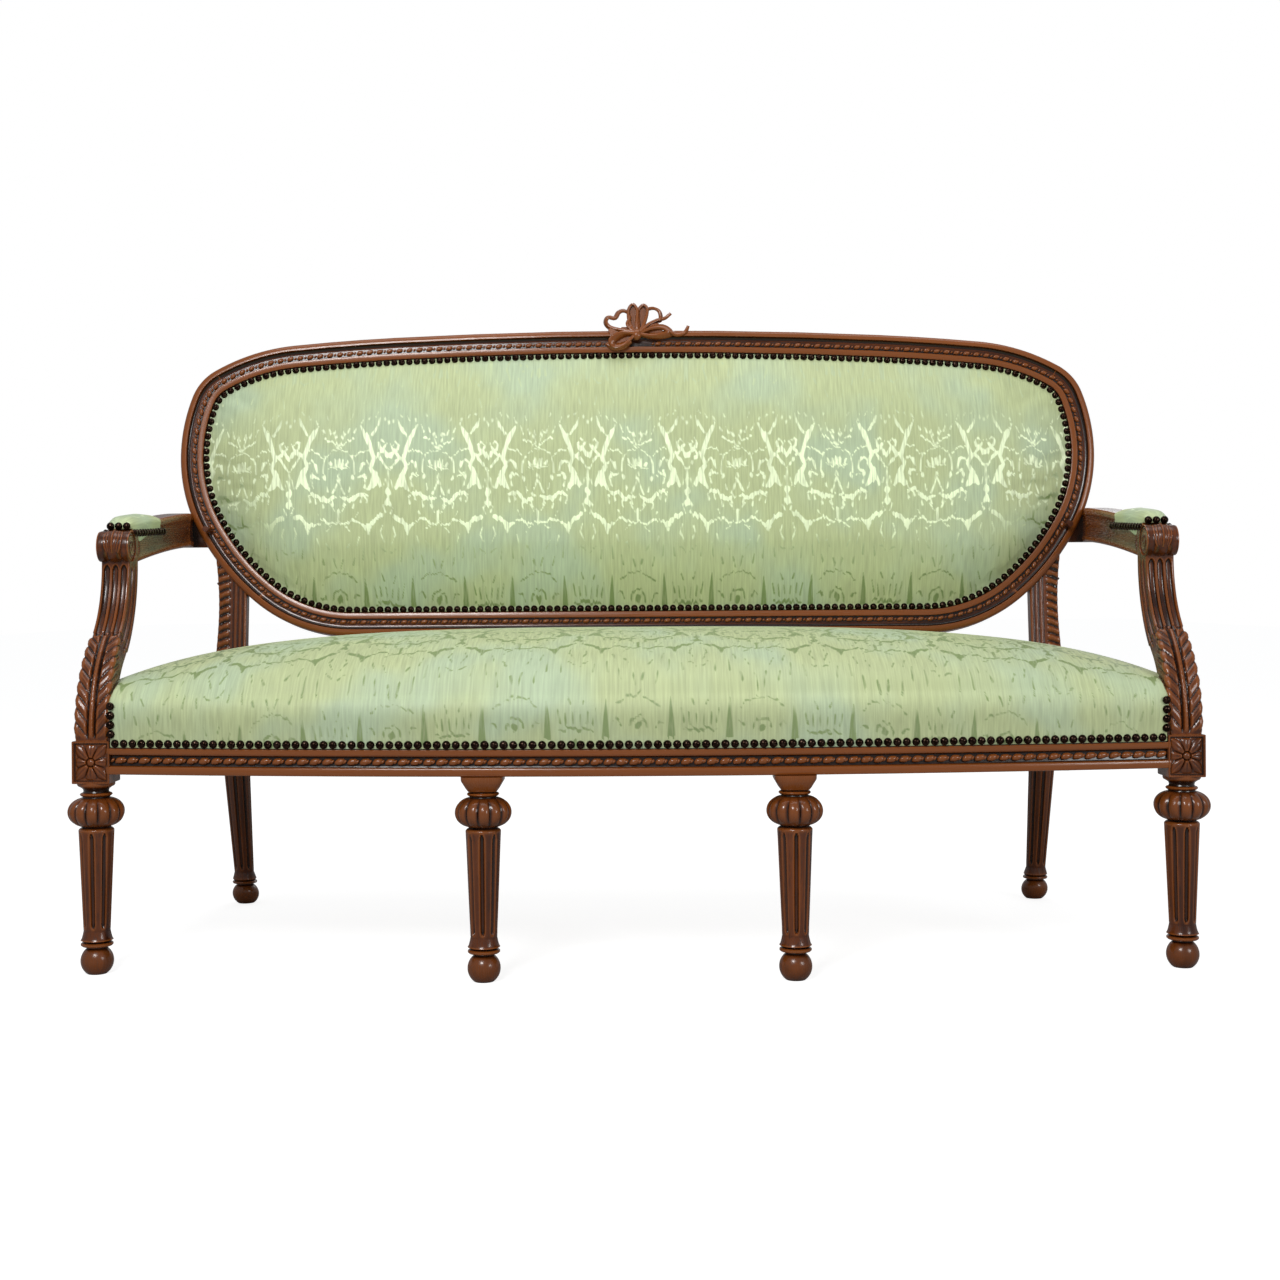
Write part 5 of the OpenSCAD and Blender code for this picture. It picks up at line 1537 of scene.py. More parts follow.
@dataclass
class RearLeg:
    """A rear leg, turned and fluted below its block, with a raked back post carved with a leaf above it."""

    wood: bpy.types.Material
    neck: float = 46.0
    ankle: float = 33.0
    top_in: float = 6.0
    foot_in: float = 12.0
    splay: float = 50.0
    ball_h: float = 34.0
    block_h: float = 58.0
    flutes: int = 8
    flute_half: float = 3.2
    flute_deep: float = 3.0
    post_x: float = 702.0
    post_half: float = 28.0
    post_t: float = 27.0
    post_z: float = -21.5
    into_frame: float = 14.0

    def turning(self, block_z: float) -> tuple[Array, list]:
        """Carves the leg below its block, leaning out to its foot.

        Args:
            block_z: Height of the turning's top.

        Returns:
            The vertices and faces.
        """
        w, n = self.ankle / 2, self.neck / 2
        profile = [(0.02, 0.0), (12, 0.0)]
        profile += [(22.5 * math.cos(a), self.ball_h / 2 * (1 + math.sin(a) / 0.8))
                    for a in np.radians(np.linspace(-52, 53, 12))]
        profile += [(w - 3, 35), (w + 3.4, 36), (w + 4.6, 38), (w + 3.4, 40), (w + 1, 41), (w + 3, 43)]
        profile += [(w + 3.6 - 3.6 * t, 44 + 12 * t) for t in np.linspace(0, 1, 6)]
        profile += [(w + (n - w) * t, 57 + (block_z - 58) * t) for t in np.linspace(0, 1, 60)]
        theta = np.linspace(0, math.tau, 112, endpoint=False)
        rows = []
        for r, z in profile:
            half = self.flute_half * math.sqrt(max(0.0, min(1.0, (z - 62) / 6)))
            radius = fluted(theta, r, self.flutes, half, self.flute_deep) if half > 0.2 else r
            t = 1 - z / block_z
            x = PLAN.rear_x - self.top_in - (self.foot_in - self.top_in) * t
            y = PLAN.seat_depth + self.splay * t
            rows.append(np.stack([radius * np.cos(theta) + x, radius * np.sin(theta) + y, np.full(len(theta), z)],
                                 1))
        return shell(np.array(rows) + SHIFT)

    def block(self, block_z: float) -> tuple[Array, list]:
        """Builds the square block between the rails.

        Args:
            block_z: Height of its underside.

        Returns:
            The vertices and faces.
        """
        place, _, _ = rounded_box(PLAN.rear_w / 2, PLAN.rear_t / 2, 2.0, 60)
        middle = np.array([PLAN.rear_x, PLAN.seat_depth])
        levels = ((0.96, block_z), (1.0, block_z + 1.2), (1.0, PLAN.rail_top))
        rows = [np.column_stack([place * size + middle, np.full(len(place), z)]) + SHIFT for size, z in levels]
        return shell(np.array(rows))

    def post(self) -> tuple[Array, list]:
        """Carves the back post, raked as the back is, up into the frame's lower corner.

        Returns:
            The vertices and faces.
        """
        lower = OUTLINE.points[OUTLINE.joints[OUTLINE.widest]:OUTLINE_LAST // 2 + 1]
        place, out, _ = rounded_box(self.post_half, self.post_t / 2, 3.0, 120)
        across = place[:, 0]
        x = self.post_x + across
        top = np.interp(-x, -lower[:, 0], lower[:, 1]) + self.into_frame
        floor = (PLAN.rail_top - OUTLINE.low) / math.sin(OUTLINE.slope) - 3
        rows = []
        for t in np.linspace(0, 1, 110):
            up = floor + (top - floor) * t
            bend = 9.0 * math.sin(math.pi * t ** 1.3) * smoothstep(6, 26, across)
            leaf = np.abs(np.sin(math.pi * (up / 14.0 + across * 0.016))) ** 0.6 * smoothstep(-2, 3, across)
            reeds = np.abs(np.sin(math.pi * (across - 2) / 8.0)) ** 0.7 * smoothstep(3, -1, across)
            push = (3.6 * leaf + 1.8 * reeds - 2.6) * smoothstep(0.2, 0.9, out[:, 1]) * smoothstep(0, 0.05, t)
            flat = np.stack([x + out[:, 0] * push - bend, up, self.post_z + place[:, 1] + out[:, 1] * push], -1)
            rows.append(OUTLINE.to_room(flat))
        return shell(np.array(rows))

    def build(self) -> None:
        """Builds both rear legs."""
        block_z = PLAN.block_top - self.block_h
        skins = [self.turning(block_z + 0.5), self.block(block_z), self.post()]
        for name, side in ARM_SIDES:
            parts = mirrored(skins, side)
            carve("rear_leg_and_back_post_" + name, parts, self.wood, Grain.UPRIGHT, 38.0, "rear_leg_" + name)


# ---------------------------------------------------------------- arms


@dataclass
class Arms:
    """Ogee arm posts carved with a leaf below and flutes above, and arm rails with scrolled hand rests."""

    wood: bpy.types.Material
    setback: float = 120.0
    arm_z: float = 587.0
    wide: float = 42.0
    post_t: float = 46.0
    rest_h: float = 46.0
    rise: float = 42.0
    outwards: float = 4.0
    leaf_end: float = 0.55

    @property
    def back_end(self) -> float:
        """Depth at which an arm rail reaches the back frame."""
        up = self.arm_z + self.rest_h + self.rise - OUTLINE.low
        return OUTLINE.front + up * math.tan(math.radians(OUTLINE.rake))

    @property
    def roll_y(self) -> float:
        """Depth of the middle of the hand rest's scroll."""
        return self.setback - self.post_t / 2 + 4

    def top_at(self, y: float) -> float:
        """Height of an arm rail's top at a depth."""
        u = min(1.0, max(0.0, (y - self.roll_y) / (self.back_end - self.roll_y)))
        return self.arm_z + self.rest_h + 3 + self.rise * (1 - (1 - u) ** 1.45)

    def along(self, room: Array) -> Array:
        """Turns points in plan about the post, as the whole arm is turned."""
        t = -math.atan2(self.outwards, self.back_end - self.setback)
        x, y = room[..., 0], room[..., 1] - self.setback
        return np.stack([PLAN.corner_x + x * math.cos(t) - y * math.sin(t),
                         self.setback + x * math.sin(t) + y * math.cos(t), room[..., 2]], -1)

    def post_line(self, s: Array) -> tuple[Array, Array]:
        """Middle line of a post in its side view.

        Args:
            s: Shares of its height, from 0 at the block to 1 at the arm.

        Returns:
            Points (depth, height) and forward normals.
        """
        half = (self.arm_z - PLAN.block_top) / 2
        bend = 2 * math.atan2(self.setback / 2, half)
        r = half / math.sin(bend)
        a = np.where(s < 0.5, math.pi - bend * 2 * s, -bend * (2 - 2 * s))
        centre_y = np.where(s < 0.5, r, self.setback - r)
        centre_z = np.where(s < 0.5, PLAN.block_top, self.arm_z)
        points = np.stack([centre_y + r * np.cos(a), centre_z + r * np.sin(a)], 1)
        out = np.stack([np.cos(a), np.sin(a)], 1)
        return points, np.where(s[:, None] < 0.5, out, -out)

    def post(self) -> tuple[Array, list]:
        """Carves a post about its own middle.

        Returns:
            The vertices and faces.
        """
        s = np.linspace(0, 1.03, 190)
        points, forward = self.post_line(s)
        rows = []
        for share, p, n in zip(s, points, forward):
            half_x = self.wide / 2 + 1.2 * (1 - float(smoothstep(0.0, 0.62, share)))
            place, out, off = rounded_box(half_x, self.post_t / 2, 3.2, 176)
            push = self.leaf(share, off) - self.flutes(share, place, out, off)
            moved = place + out * push[:, None]
            rows.append(np.column_stack([moved[:, 0], p[0] + moved[:, 1] * n[0], p[1] + moved[:, 1] * n[1]]))
        return shell(np.array(rows))

    def flutes(self, share: float, place: Array, out: Array, off: Array) -> Array:
        """Depth of the flutes above the leaf, three on the front and two on each side.

        Args:
            share: Share of the post's height.
            place: Places round the post.
            out: Outward directions there.
            off: Distance round the post from the middle of its front.

        Returns:
            The depth at each place.
        """
        depth = np.zeros(len(off))
        end = min((share - 0.5) / 0.04, (0.985 - share) / 0.03, 1.0) if share > 0.5 else 0.0
        if end <= 0:
            return depth
        half = 4.6 * math.sqrt(end) + 0.01
        for deep, at, facing, middles in ((4.4, off, out[:, 1] > 0.9, (-12.4, 0.0, 12.4)),
                                          (3.0, place[:, 1], np.abs(out[:, 0]) > 0.9, (-8.0, 9.0))):
            for middle in middles:
                depth += deep * np.sqrt(np.clip(1 - ((at - middle) / half) ** 4, 0, 1)) * facing * min(1.0, end * 3)
        return depth

    def leaf(self, share: float, off: Array) -> Array:
        """Height of the acanthus leaf that climbs the post.

        Args:
            share: Share of the post's height.
            off: Distance round the post from the middle of its front.

        Returns:
            The height above the ground.
        """
        if share > self.leaf_end:
            return np.zeros_like(off)
        t, off = share / self.leaf_end, np.abs(off)
        scallop = np.abs(math.sin(math.pi * 6.5 * t)) ** 0.7
        edge = 60.0 * (1 - t ** 2.4) ** 0.6 * (0.80 + 0.20 * scallop) + 1.0
        inside = smoothstep(0, 4.0, edge - off)
        lobes = np.abs(np.sin(math.pi * (9.0 * t - off * 0.062))) ** 0.55
        veins = 0.48 * np.abs(np.sin(math.pi * (27.0 * t - off * 0.186))) * lobes
        rib = np.exp(-(off / 3.0) ** 4) * 3.4 - 1.6 * np.exp(-((off - 5.4) / 1.6) ** 2)
        swell = 1.6 * math.sin(math.pi * min(1.0, t * 0.9 + 0.1))
        foot = float(smoothstep(0, 0.03, share))
        return foot * (inside * (swell + 2.7 * lobes * smoothstep(4.5, 9, off) + veins + rib) - 1.2)

    def rail_part(self) -> list[tuple[Array, list]]:
        """Builds an arm rail with its side grooves, its scroll and its leaf.

        The rail's end turns inwards only where it is deeper than the frame's front, so that it stays behind it.

        Returns:
            The vertices and faces of its skins.
        """
        y0, y1, turn_in = self.setback + self.post_t / 2, self.back_end - 1, 12.5
        stations = [np.linspace(self.roll_y + 6, y0, 8), np.linspace(y0, y1, 60)[1:],
                    y1 + np.array([6.0, 12, 13, 20, 28])]
        rows = []
        for y in np.concatenate(stations):
            u = min(1.0, max(0.0, (y - y0) / (self.back_end - y0)))
            top = self.top_at(y) - 5.0 * float(smoothstep(y0, self.roll_y + 6, y))
            low = self.arm_z + 33 * (1 - (1 - u) ** 1.6)
            half = (top - low) / 2
            pinch = -32.0
            if y < y1 + turn_in:
                pinch = 11.0 * float(smoothstep(self.back_end - 60, self.back_end - 14, y))
            place, out, _ = rounded_box(self.wide / 2 - 0.4, half, 5.0, 120)
            groove = 2.0 * np.clip(1 - ((place[:, 1] + 1.0) / (half - 9)) ** 4, 0, 1) * (np.abs(out[:, 0]) > 0.9)
            groove *= float(smoothstep(y0 + 2, y0 + 16, y))
            x = place[:, 0] - out[:, 0] * groove + pinch * (place[:, 0] < 0) * np.clip(-place[:, 0] / 20, 0, 1)
            rows.append(np.stack([x, np.full(len(x), y), place[:, 1] + (low + top) / 2], 1))
        return [shell(self.along(np.array(rows))), self.scroll(), self.bud()]

    def on_roll(self, rows: list[Array]) -> tuple[Array, list]:
        """Skins rows that are drawn about the scroll's axis, and puts them in its place."""
        middle = np.array([0, self.roll_y, self.arm_z + self.rest_h / 2])
        return shell(self.along(np.array(rows) + middle))

    def scroll(self) -> tuple[Array, list]:
        """Builds the rolled front of a hand rest, grooved round its middle, with a spiral on each end.

        Returns:
            The vertices and faces.
        """
        radius, half, count = self.rest_h / 2, self.wide / 2 + 2.4, 22
        theta = np.linspace(0, math.tau, 112, endpoint=False)
        end, body = [], []
        for k in range(count):
            share = k / (count - 0.5)
            turn = (theta / math.tau - share * 2.2) % 1
            spiral = 1.8 * np.clip(1 - np.abs(turn - 0.5) * 5, 0, 1) * min(1.0, k / 4)
            end.append((half - 1.2 + 0.9 * (spiral - 1.6 * share ** 6), max(radius * share, 0.05)))
        for q in np.linspace(-1, 1, 45):
            side = abs(q)
            groove = 3.0 * math.exp(-((side - 0.42) / 0.09) ** 2) + 1.2 * math.exp(-((side - 0.97) / 0.05) ** 2)
            swell = 0.8 * math.cos(q * math.pi / 0.84) * (side < 0.42)
            body.append((np.full(len(theta), half * q), radius - groove + swell))
        rings = [(-x, r) for x, r in end] + body + end[::-1]
        return self.on_roll([np.stack([x, r * np.cos(theta), r * np.sin(theta)], 1) for x, r in rings])

    def bud(self) -> tuple[Array, list]:
        """Builds the leaf that hangs over the front of a hand rest, with its raised middle rib.

        Returns:
            The vertices and faces.
        """
        v = np.linspace(-1, 1, 33)
        radius, inner = self.rest_h / 2, np.full(len(v), self.rest_h / 2 - 6)
        relief = 2.2 * (1 - v ** 2) + 2.6 * np.exp(-(v / 0.16) ** 2) + 0.9 * np.cos(v * math.pi * 3.5) ** 2
        rows = []
        for s in np.linspace(0, 1, 34):
            a = math.radians(205 - 130 * s)
            width = 15.0 * math.sin(math.pi * min(0.95, 0.14 + 0.76 * s)) ** 0.6
            outer = radius - 1.0 + math.sin(math.pi * min(1.0, 0.1 + 0.9 * s)) ** 0.5 * relief
            rows.append(np.concatenate([np.stack([x * width, r * math.cos(a), r * math.sin(a)], 1)
                                        for x, r in ((v, outer), (v[::-1], inner))]))
        return self.on_roll(rows)

    def build(self) -> None:
        """Builds both arms."""
        post, rails = self.post(), self.rail_part()
        for name, side in ARM_SIDES:
            parts = mirrored([post], side, (PLAN.corner_x, PLAN.shift, 0))
            carve("arm_support_" + name, parts, self.wood, Grain.UPRIGHT, 42.0, "arm_post_" + name)
            parts = mirrored(rails, side, SHIFT)
            carve("arm_and_hand_rest_" + name, parts, self.wood, Grain.FORWARDS, 42.0, "arm_rail_" + name)


# ---------------------------------------------------------------- upholstery


@dataclass
class StuffedPiece:
    """A stuffed piece under damask: its closed form, its cloth map and its short cloth simulation."""

    name: str
    verts: Array
    faces: list
    flat: Array
    held: Array
    cloth: bpy.types.Material
    # Slopes, and the figure's painted sheen at each, from painted shade at 0 to painted highlight at 1
    painted_sheen: tuple
    pressure: float = 4.0
    most_mm: float = 8.0
    fill: float = 0.8
    press: Callable[[Array, Array], Array] | None = None
    steps: int = 20

    def build(self, *nodes: str) -> bpy.types.Object:
        """Builds the piece, lets it swell, draws its weave and dresses it.

        Args:
            *nodes: CAD nodes that it replaces.

        Returns:
            The piece.
        """
        piece = mesh_piece(self.name, [(self.verts, self.faces)], smooth=70.0)
        write_attribute(piece.data, "cloth", np.column_stack([self.flat * MM, np.zeros(len(self.flat))]))
        self.swell(piece)
        self.refine(piece)
        self.weave(piece.data)
        finish_piece(piece, self.cloth, Slot.DAMASK, *nodes)
        return piece

    def swell(self, piece: bpy.types.Object) -> None:
        """Blows the cloth up a little against its nailed edge, then keeps the result.

        Args:
            piece: The piece, whose held points don't move.
        """
        start = read_points(piece.data)
        group = piece.vertex_groups.new(name="nailed")
        group.add(np.nonzero(self.held)[0].tolist(), 1.0, "REPLACE")
        modifier = piece.modifiers.new("cloth", "CLOTH")
        settings = modifier.settings
        settings.quality = 4
        settings.mass = 0.3
        settings.use_pressure = True
        settings.uniform_pressure_force = self.pressure
        settings.vertex_group_mass = "nailed"
        settings.effector_weights.gravity = 0.0
        modifier.collision_settings.use_collision = False
        scene = bpy.context.scene
        for step in range(1, self.steps + 1):
            scene.frame_set(step)
        evaluated = piece.evaluated_get(bpy.context.evaluated_depsgraph_get())
        move = read_points(evaluated.data) - start
        piece.modifiers.remove(modifier)
        size = np.linalg.norm(move, axis=1, keepdims=True)
        most = self.most_mm * MM
        move *= np.minimum(1.0, most / np.maximum(size, 1e-9))
        piece.data.vertices.foreach_set("co", (start + move).ravel())
        piece.data.update()
        scene.frame_set(1)
        LOG.info("%s swelled by up to %.1f mm", piece.name, 1000 * min(float(size.max()), most))

    def refine(self, piece: bpy.types.Object) -> None:
        """Subdivides the swollen form, so that the weave's figure fits its points."""
        finer = piece.modifiers.new("finer", "SUBSURF")
        finer.levels = finer.render_levels = 2
        mesh = bpy.data.meshes.new_from_object(piece.evaluated_get(bpy.context.evaluated_depsgraph_get()))
        piece.modifiers.clear()
        piece.vertex_groups.clear()
        piece.data = mesh
        for name in ("grain", "wear_and_hollow_shade"):
            mesh.attributes.remove(mesh.attributes[name])
        work = bmesh.new()
        work.from_mesh(mesh)
        bmesh.ops.holes_fill(work, edges=[e for e in work.edges if e.is_boundary], sides=0)
        work.to_mesh(mesh)
        work.free()
        if self.press:
            at, normal = read_points(mesh) / MM, read_points(mesh, "normal")
            mesh.vertices.foreach_set("co", ((at + normal * self.press(at, normal)[:, None]) * MM).ravel())
            mesh.update()
        mesh.shade_smooth()

    def weave(self, mesh: bpy.types.Mesh) -> None:
        """Draws the damask's figure on the cloth, and the painted highlight and painted shade that its figure gets
        from the slope at each point.
        """
        place = np.empty(len(mesh.vertices) * 3)
        mesh.attributes["cloth"].data.foreach_get("vector", place)
        u, v, _ = place.reshape(-1, 3).T / MM
        write_figure(mesh, u, v)
        upwards = read_points(mesh, "normal")[:, 2]
        slopes, turns = np.array(self.painted_sheen).T
        write_attribute(mesh, "painted_sheen", np.interp(upwards, slopes, turns))


def write_figure(mesh: bpy.types.Mesh, u: Array, v: Array) -> None:
    """Writes the damask's figure on the cloth, kept near its outlines, where alone it is read."""
    write_attribute(mesh, "figure", np.clip(DamaskFigure().distance(u, v), -4, 6))


@dataclass
class Seat:
    """The seat: one crowned cushion nailed along the rails, gathered at its front corners."""

    cloth: bpy.types.Material
    edge: float = 397.0
    crown: float = 484.0
    across: int = 66
    deep: int = 26
    rear: float = 527.0
    skirt_up: float = 37.5
    tuck_z: float = 367.2
    post_top: float = 597.0
    post_back: float = 60.0
    post_half: float = 24.5
    clearance: float = 1.2
    painted_sheen: tuple = (  # slope against painted sheen: painted shade under the roll, painted highlight on it, halfway between on the top
        (-1, 0.0), (0.15, 0.05), (0.45, 0.2), (0.62, 0.75), (0.74, 0.95), (0.84, 0.7), (0.95, 0.56), (1, 0.5))
    fall: tuple = (5, 14, 26, 37, 51, 62, 70, 78, 81, 125, 170)  # cloth from the roll down to each ring

    def half_at(self, y: Array | float, out: float) -> Array | float:
        """Half the seat's width at a depth, at an outset from the rails."""
        return PLAN.side_at(y) - PLAN.fabric_in + out

    def plan(self, u: Array, v: Array, out: float) -> tuple[Array, Array]:
        """Finds places in plan.

        Args:
            u: Shares across, from -1 to 1.
            v: Shares back, from -1 to 1.
            out: Outset from the rails.

        Returns:
            The places across and their depths.
        """
        radius = PLAN.bow_r + PLAN.rail_t / 2 - PLAN.fabric_in + out
        front = PLAN.front_at(u * self.half_at(0.0, out), radius)
        front = PLAN.front_at(u * self.half_at(front, out), radius)
        y = front + (self.rear + out - front) * (v + 1) / 2
        return u * self.half_at(y, out), y

    def shares(self, count: int, edge: float) -> Array:
        """Shares from -1 to 1 that lie closer together towards both ends."""
        return np.sin(np.linspace(-1, 1, 2 * count + 1) * math.pi / 2 * edge) / math.sin(math.pi / 2 * edge)

    def rings(self, edge_u: Array, edge_v: Array) -> list[Array]:
        """Lays the rings of the seat's sides, from its roll down to the rails and in under it.

        Args:
            edge_u: Shares across of the rim's points.
            edge_v: Shares back of the rim's points.

        Returns:
            The points of each ring.
        """
        out, skirt, over_rail = PLAN.soft + PLAN.cover_t, PLAN.rail_z + self.skirt_up, PLAN.rail_top + 0.5
        rings = []
        # Outset from the rails, height, and height at the rear, where the cloth stays above the rail
        for outset, height, rear in (
                (0, self.edge - 4, self.edge - 4), (5.6, self.edge - 12, self.edge - 12), (8, self.edge - 24, 379),
                (7.4, self.edge - 35, 373), (5.2, 349, 369), (3.6, 338, 367), (out, 330, 366),
                (out, skirt, over_rail), (PLAN.soft, skirt, over_rail), (PLAN.soft, self.tuck_z, self.tuck_z),
                (-45, self.tuck_z + 0.4, self.tuck_z + 0.4)):
            x, y = self.plan(edge_u, edge_v, outset)
            rings.append(np.stack([x, y, np.where(edge_v > 0.999, float(rear), float(height))], 1))
        return rings

    def build(self) -> None:
        """Builds the seat."""
        u, v = np.meshgrid(self.shares(self.across, 0.5), self.shares(self.deep, 0.7), indexing="ij")
        dome = np.sqrt(np.clip(1 - np.abs(u) ** 3, 0, 1)) * np.clip(1 - np.abs(v) ** 2.5, 0, 1) ** 0.6
        top = np.stack([*self.plan(u, v, -8.0), self.edge + (self.crown - self.edge) * dome], -1)
        rim = rim_of(*u.shape)
        edge_u, edge_v = u.ravel()[rim], v.ravel()[rim]
        rings = self.rings(edge_u, edge_v)
        chain = [rim] + [u.size + k * len(rim) + np.arange(len(rim)) for k in range(len(rings))]
        verts, faces = shell(top, around=False)
        for first, second in zip(chain, chain[1:]):
            faces += band(first, second)
        verts = self.clear_posts(np.concatenate([verts, *rings]))
        flat = verts[:, :2] * np.array([1.0, 0.98])
        for ring, drop in zip(chain[1:], self.fall):
            flat[ring, 1] = np.where(edge_v < -0.999, flat[rim, 1] - drop, flat[ring, 1])
            flat[ring, 0] = np.where(np.abs(edge_u) > 0.999, flat[rim, 0] + np.sign(edge_u) * drop, flat[ring, 0])
        flat += np.array([0.0, 142.0])
        held = np.zeros(len(verts), bool)
        held[np.concatenate(chain[-6:])] = True
        StuffedPiece("seat_cushion", verts + SHIFT, faces, flat, held, self.cloth, self.painted_sheen, 3.0, 7.0, 0.85,
                     self.gather).build("seat_cover")

    def gather(self, at: Array, normal: Array) -> Array:
        """Pleats the cloth where it is gathered round each front corner.

        Args:
            at: Points of the cushion.
            normal: Their normals.

        Returns:
            How far each point is pushed out.
        """
        x, z = np.abs(at[:, 0]), at[:, 2] - PLAN.nail_z
        stronger = np.where(at[:, 0] < 0, 1.0, 0.75)
        near = smoothstep(610, 720, x) * smoothstep(0.35, 0.75, -normal[:, 1]) * smoothstep(2, 12, z)
        slant = (x - 0.34 * z) / 13.0
        folds = np.abs(np.sin(math.pi * (slant + 0.35 * np.sin(slant * 1.7)))) ** 0.6 - 0.6
        return 3.0 * stronger * near * smoothstep(92, 18, z) * folds

    def clear_posts(self, verts: Array) -> Array:
        """Draws the cloth in round the arm posts and the back posts, where it is cut and tucked.

        Args:
            verts: Points of the cloth.

        Returns:
            The points, moved the shorter way out of the posts.
        """
        x, y, z = np.abs(verts[:, 0]), verts[:, 1], verts[:, 2]
        half = (self.post_top - PLAN.block_top) / 2
        bend = 2 * math.atan2(self.post_back, half)
        r = half / math.sin(bend)
        rise = np.clip((z - PLAN.block_top) / r, 0, math.sin(bend))
        behind = np.maximum(r - np.sqrt(1 - rise ** 2) * (r - self.post_half) + 1.0, PLAN.block_w / 2 + 1)
        inside = PLAN.block_in - self.clearance
        trapped, aside = (x > inside) & (y < behind), x - inside < behind - y
        x, y = np.where(trapped & aside, inside, x), np.where(trapped & ~aside, behind, y)
        inside = PLAN.rear_x - PLAN.rear_w / 2 - self.clearance
        ahead = PLAN.seat_depth - PLAN.rear_t / 2 - self.clearance - 4.0
        trapped, aside = (x > inside) & (y > ahead), x - inside < y - ahead
        x, y = np.where(trapped & aside, inside, x), np.where(trapped & ~aside, ahead, y)
        return np.stack([np.sign(verts[:, 0]) * x, y, z], 1)


@dataclass
class BackPad:
    """The back's stuffed panel and its outside cloth, both nailed inside the moulded frame."""

    cloth: bpy.types.Material
    crown: float = 34.0
    edge_in: float = 57.0
    flange_in: float = 41.0
    rebate: float = 8.0
    across: int = 139
    up: int = 47
    weave_up: float = 42.0
    # slope against painted sheen: painted highlight where it faces the room, painted shade where it turns down to
    # its lower edge
    painted_sheen: tuple = (
        (-1, 0.0), (-0.22, 0.0), (-0.1, 0.22), (0.0, 0.72), (0.08, 1.0), (0.16, 1.0), (0.24, 0.62), (0.36, 0.44),
        (0.6, 0.36), (1, 0.3))

    def corner(self, up: float) -> int:
        """Number of the outline's point on the right that faces inwards and up (1) or down (-1) alike."""
        half = OUTLINE.inwards[:OUTLINE_LAST // 2]
        return int(np.argmin(np.abs(half - np.array([-0.707, 0.707 * up])).sum(1)))

    def patch(self, inset: float, across: int, up: int) -> tuple[Array, Array]:
        """Lays an even grid over the panel, between four corners of the outline.

        Args:
            inset: Inset of the panel's edge.
            across: Points across.
            up: Points from the top to the bottom.

        Returns:
            The grid's points in the back's plane, and the outline's numbers at its rim, clockwise.
        """
        upper, lower, count = self.corner(-1), self.corner(1), OUTLINE_LAST
        top = OUTLINE.walk(-upper, upper, across, inset)
        right = OUTLINE.walk(upper, lower, up, inset)
        bottom = OUTLINE.walk(lower, count - lower, across, inset)
        left = OUTLINE.walk(count - lower, count - upper, up, inset)
        t, b = OUTLINE.at(top, inset)[:, None], OUTLINE.at(bottom[::-1], inset)[:, None]
        l, r = OUTLINE.at(left[::-1], inset)[None], OUTLINE.at(right, inset)[None]
        s, d = np.linspace(0, 1, across)[:, None, None], np.linspace(0, 1, up)[None, :, None]
        grid = (1 - d) * t + d * b + (1 - s) * l + s * r
        grid -= (1 - s) * (1 - d) * t[:1] + s * (1 - d) * t[-1:] + (1 - s) * d * b[:1] + s * d * b[-1:]
        return grid, np.concatenate([top[:-1], right[:-1], bottom[:-1], left[:-1]])

    def dome(self, across: int, up: int, side: float = 6.0, end: float = 2.6, full: float = 0.6) -> Array:
        """Share of the crown at each point of the panel's grid."""
        a, b = np.abs(np.linspace(-1, 1, across))[:, None], np.abs(np.linspace(-1, 1, up))[None]
        return ((1 - a ** side) * (1 - b ** end)) ** full

    def build(self) -> None:
        """Builds the panel and the outside cloth."""
        low, m, n = PLAN.soft - self.rebate, self.across, self.up
        grid, numbers = self.patch(self.edge_in, m, n)
        rise = 1.2 + (self.crown - 1.2) * self.dome(m, n)
        verts, faces = shell(np.concatenate([grid, rise[..., None]], -1), around=False)
        rings = [np.column_stack([OUTLINE.at(numbers, inset), np.full(len(numbers), z)]) for inset, z in (
            (54.5, -1.4), (52.0, -3.8), (49, low + 2.8), (self.flange_in,
                                                          low + 2.6), (self.flange_in, low), (50, low))]
        count = len(numbers)
        chain = [rim_of(m, n)] + [m * n + k * count + np.arange(count) for k in range(len(rings))]
        for first, second in zip(chain, chain[1:]):
            faces += band(first, second)
        flat = np.vstack([verts, *rings])
        held = np.arange(len(flat)) >= m * n + 2 * count
        cloth_map = flat[:, :2] - np.array([0.0, self.weave_up])
        StuffedPiece("back_cushion", OUTLINE.to_room(flat), faces, cloth_map, held, self.cloth, self.painted_sheen, 3.0,
                     6.0,
                     0.8).build("back_cover")
        self.outside()

    def outside(self, inset: float = 14.0, thick: float = 1.8, z: float = -36.0, belly: float = 1.4) -> None:
        """Builds the flat cloth on the rear of the frame.

        Args:
            inset: Inset of its edge from the frame's outline.
            thick: How far it stands behind the frame.
            z: Depth of the frame's rear.
            belly: How far its middle sinks in.
        """
        across, up = 281, 95
        grid, numbers = self.patch(inset, across, up)
        rise = z - thick + belly * self.dome(across, up, 2.0, 2.0, 1.0)
        verts, faces = shell(np.concatenate([grid, rise[..., None]], -1), around=False)
        edge = np.column_stack([OUTLINE.at(numbers, inset), np.full(len(numbers), z - 0.1)])
        hem = len(verts) + np.arange(len(edge))
        faces += band(rim_of(across, up), hem) + [tuple(hem.tolist())]
        flat = np.vstack([verts, edge])
        piece = mesh_piece("outside_back_cloth", [(OUTLINE.to_room(flat), faces)], smooth=60.0)
        u, v = flat[:, 0], flat[:, 1] - self.weave_up
        write_attribute(piece.data, "cloth", np.column_stack([u, v, np.zeros(len(u))]) * MM)
        write_figure(piece.data, u, v)
        # An even painted sheen all over the outside cloth, which lightens its figure
        write_attribute(piece.data, "painted_sheen", np.full(len(flat), 0.78))
        finish_piece(piece, self.cloth, Slot.DAMASK, "outside_back")


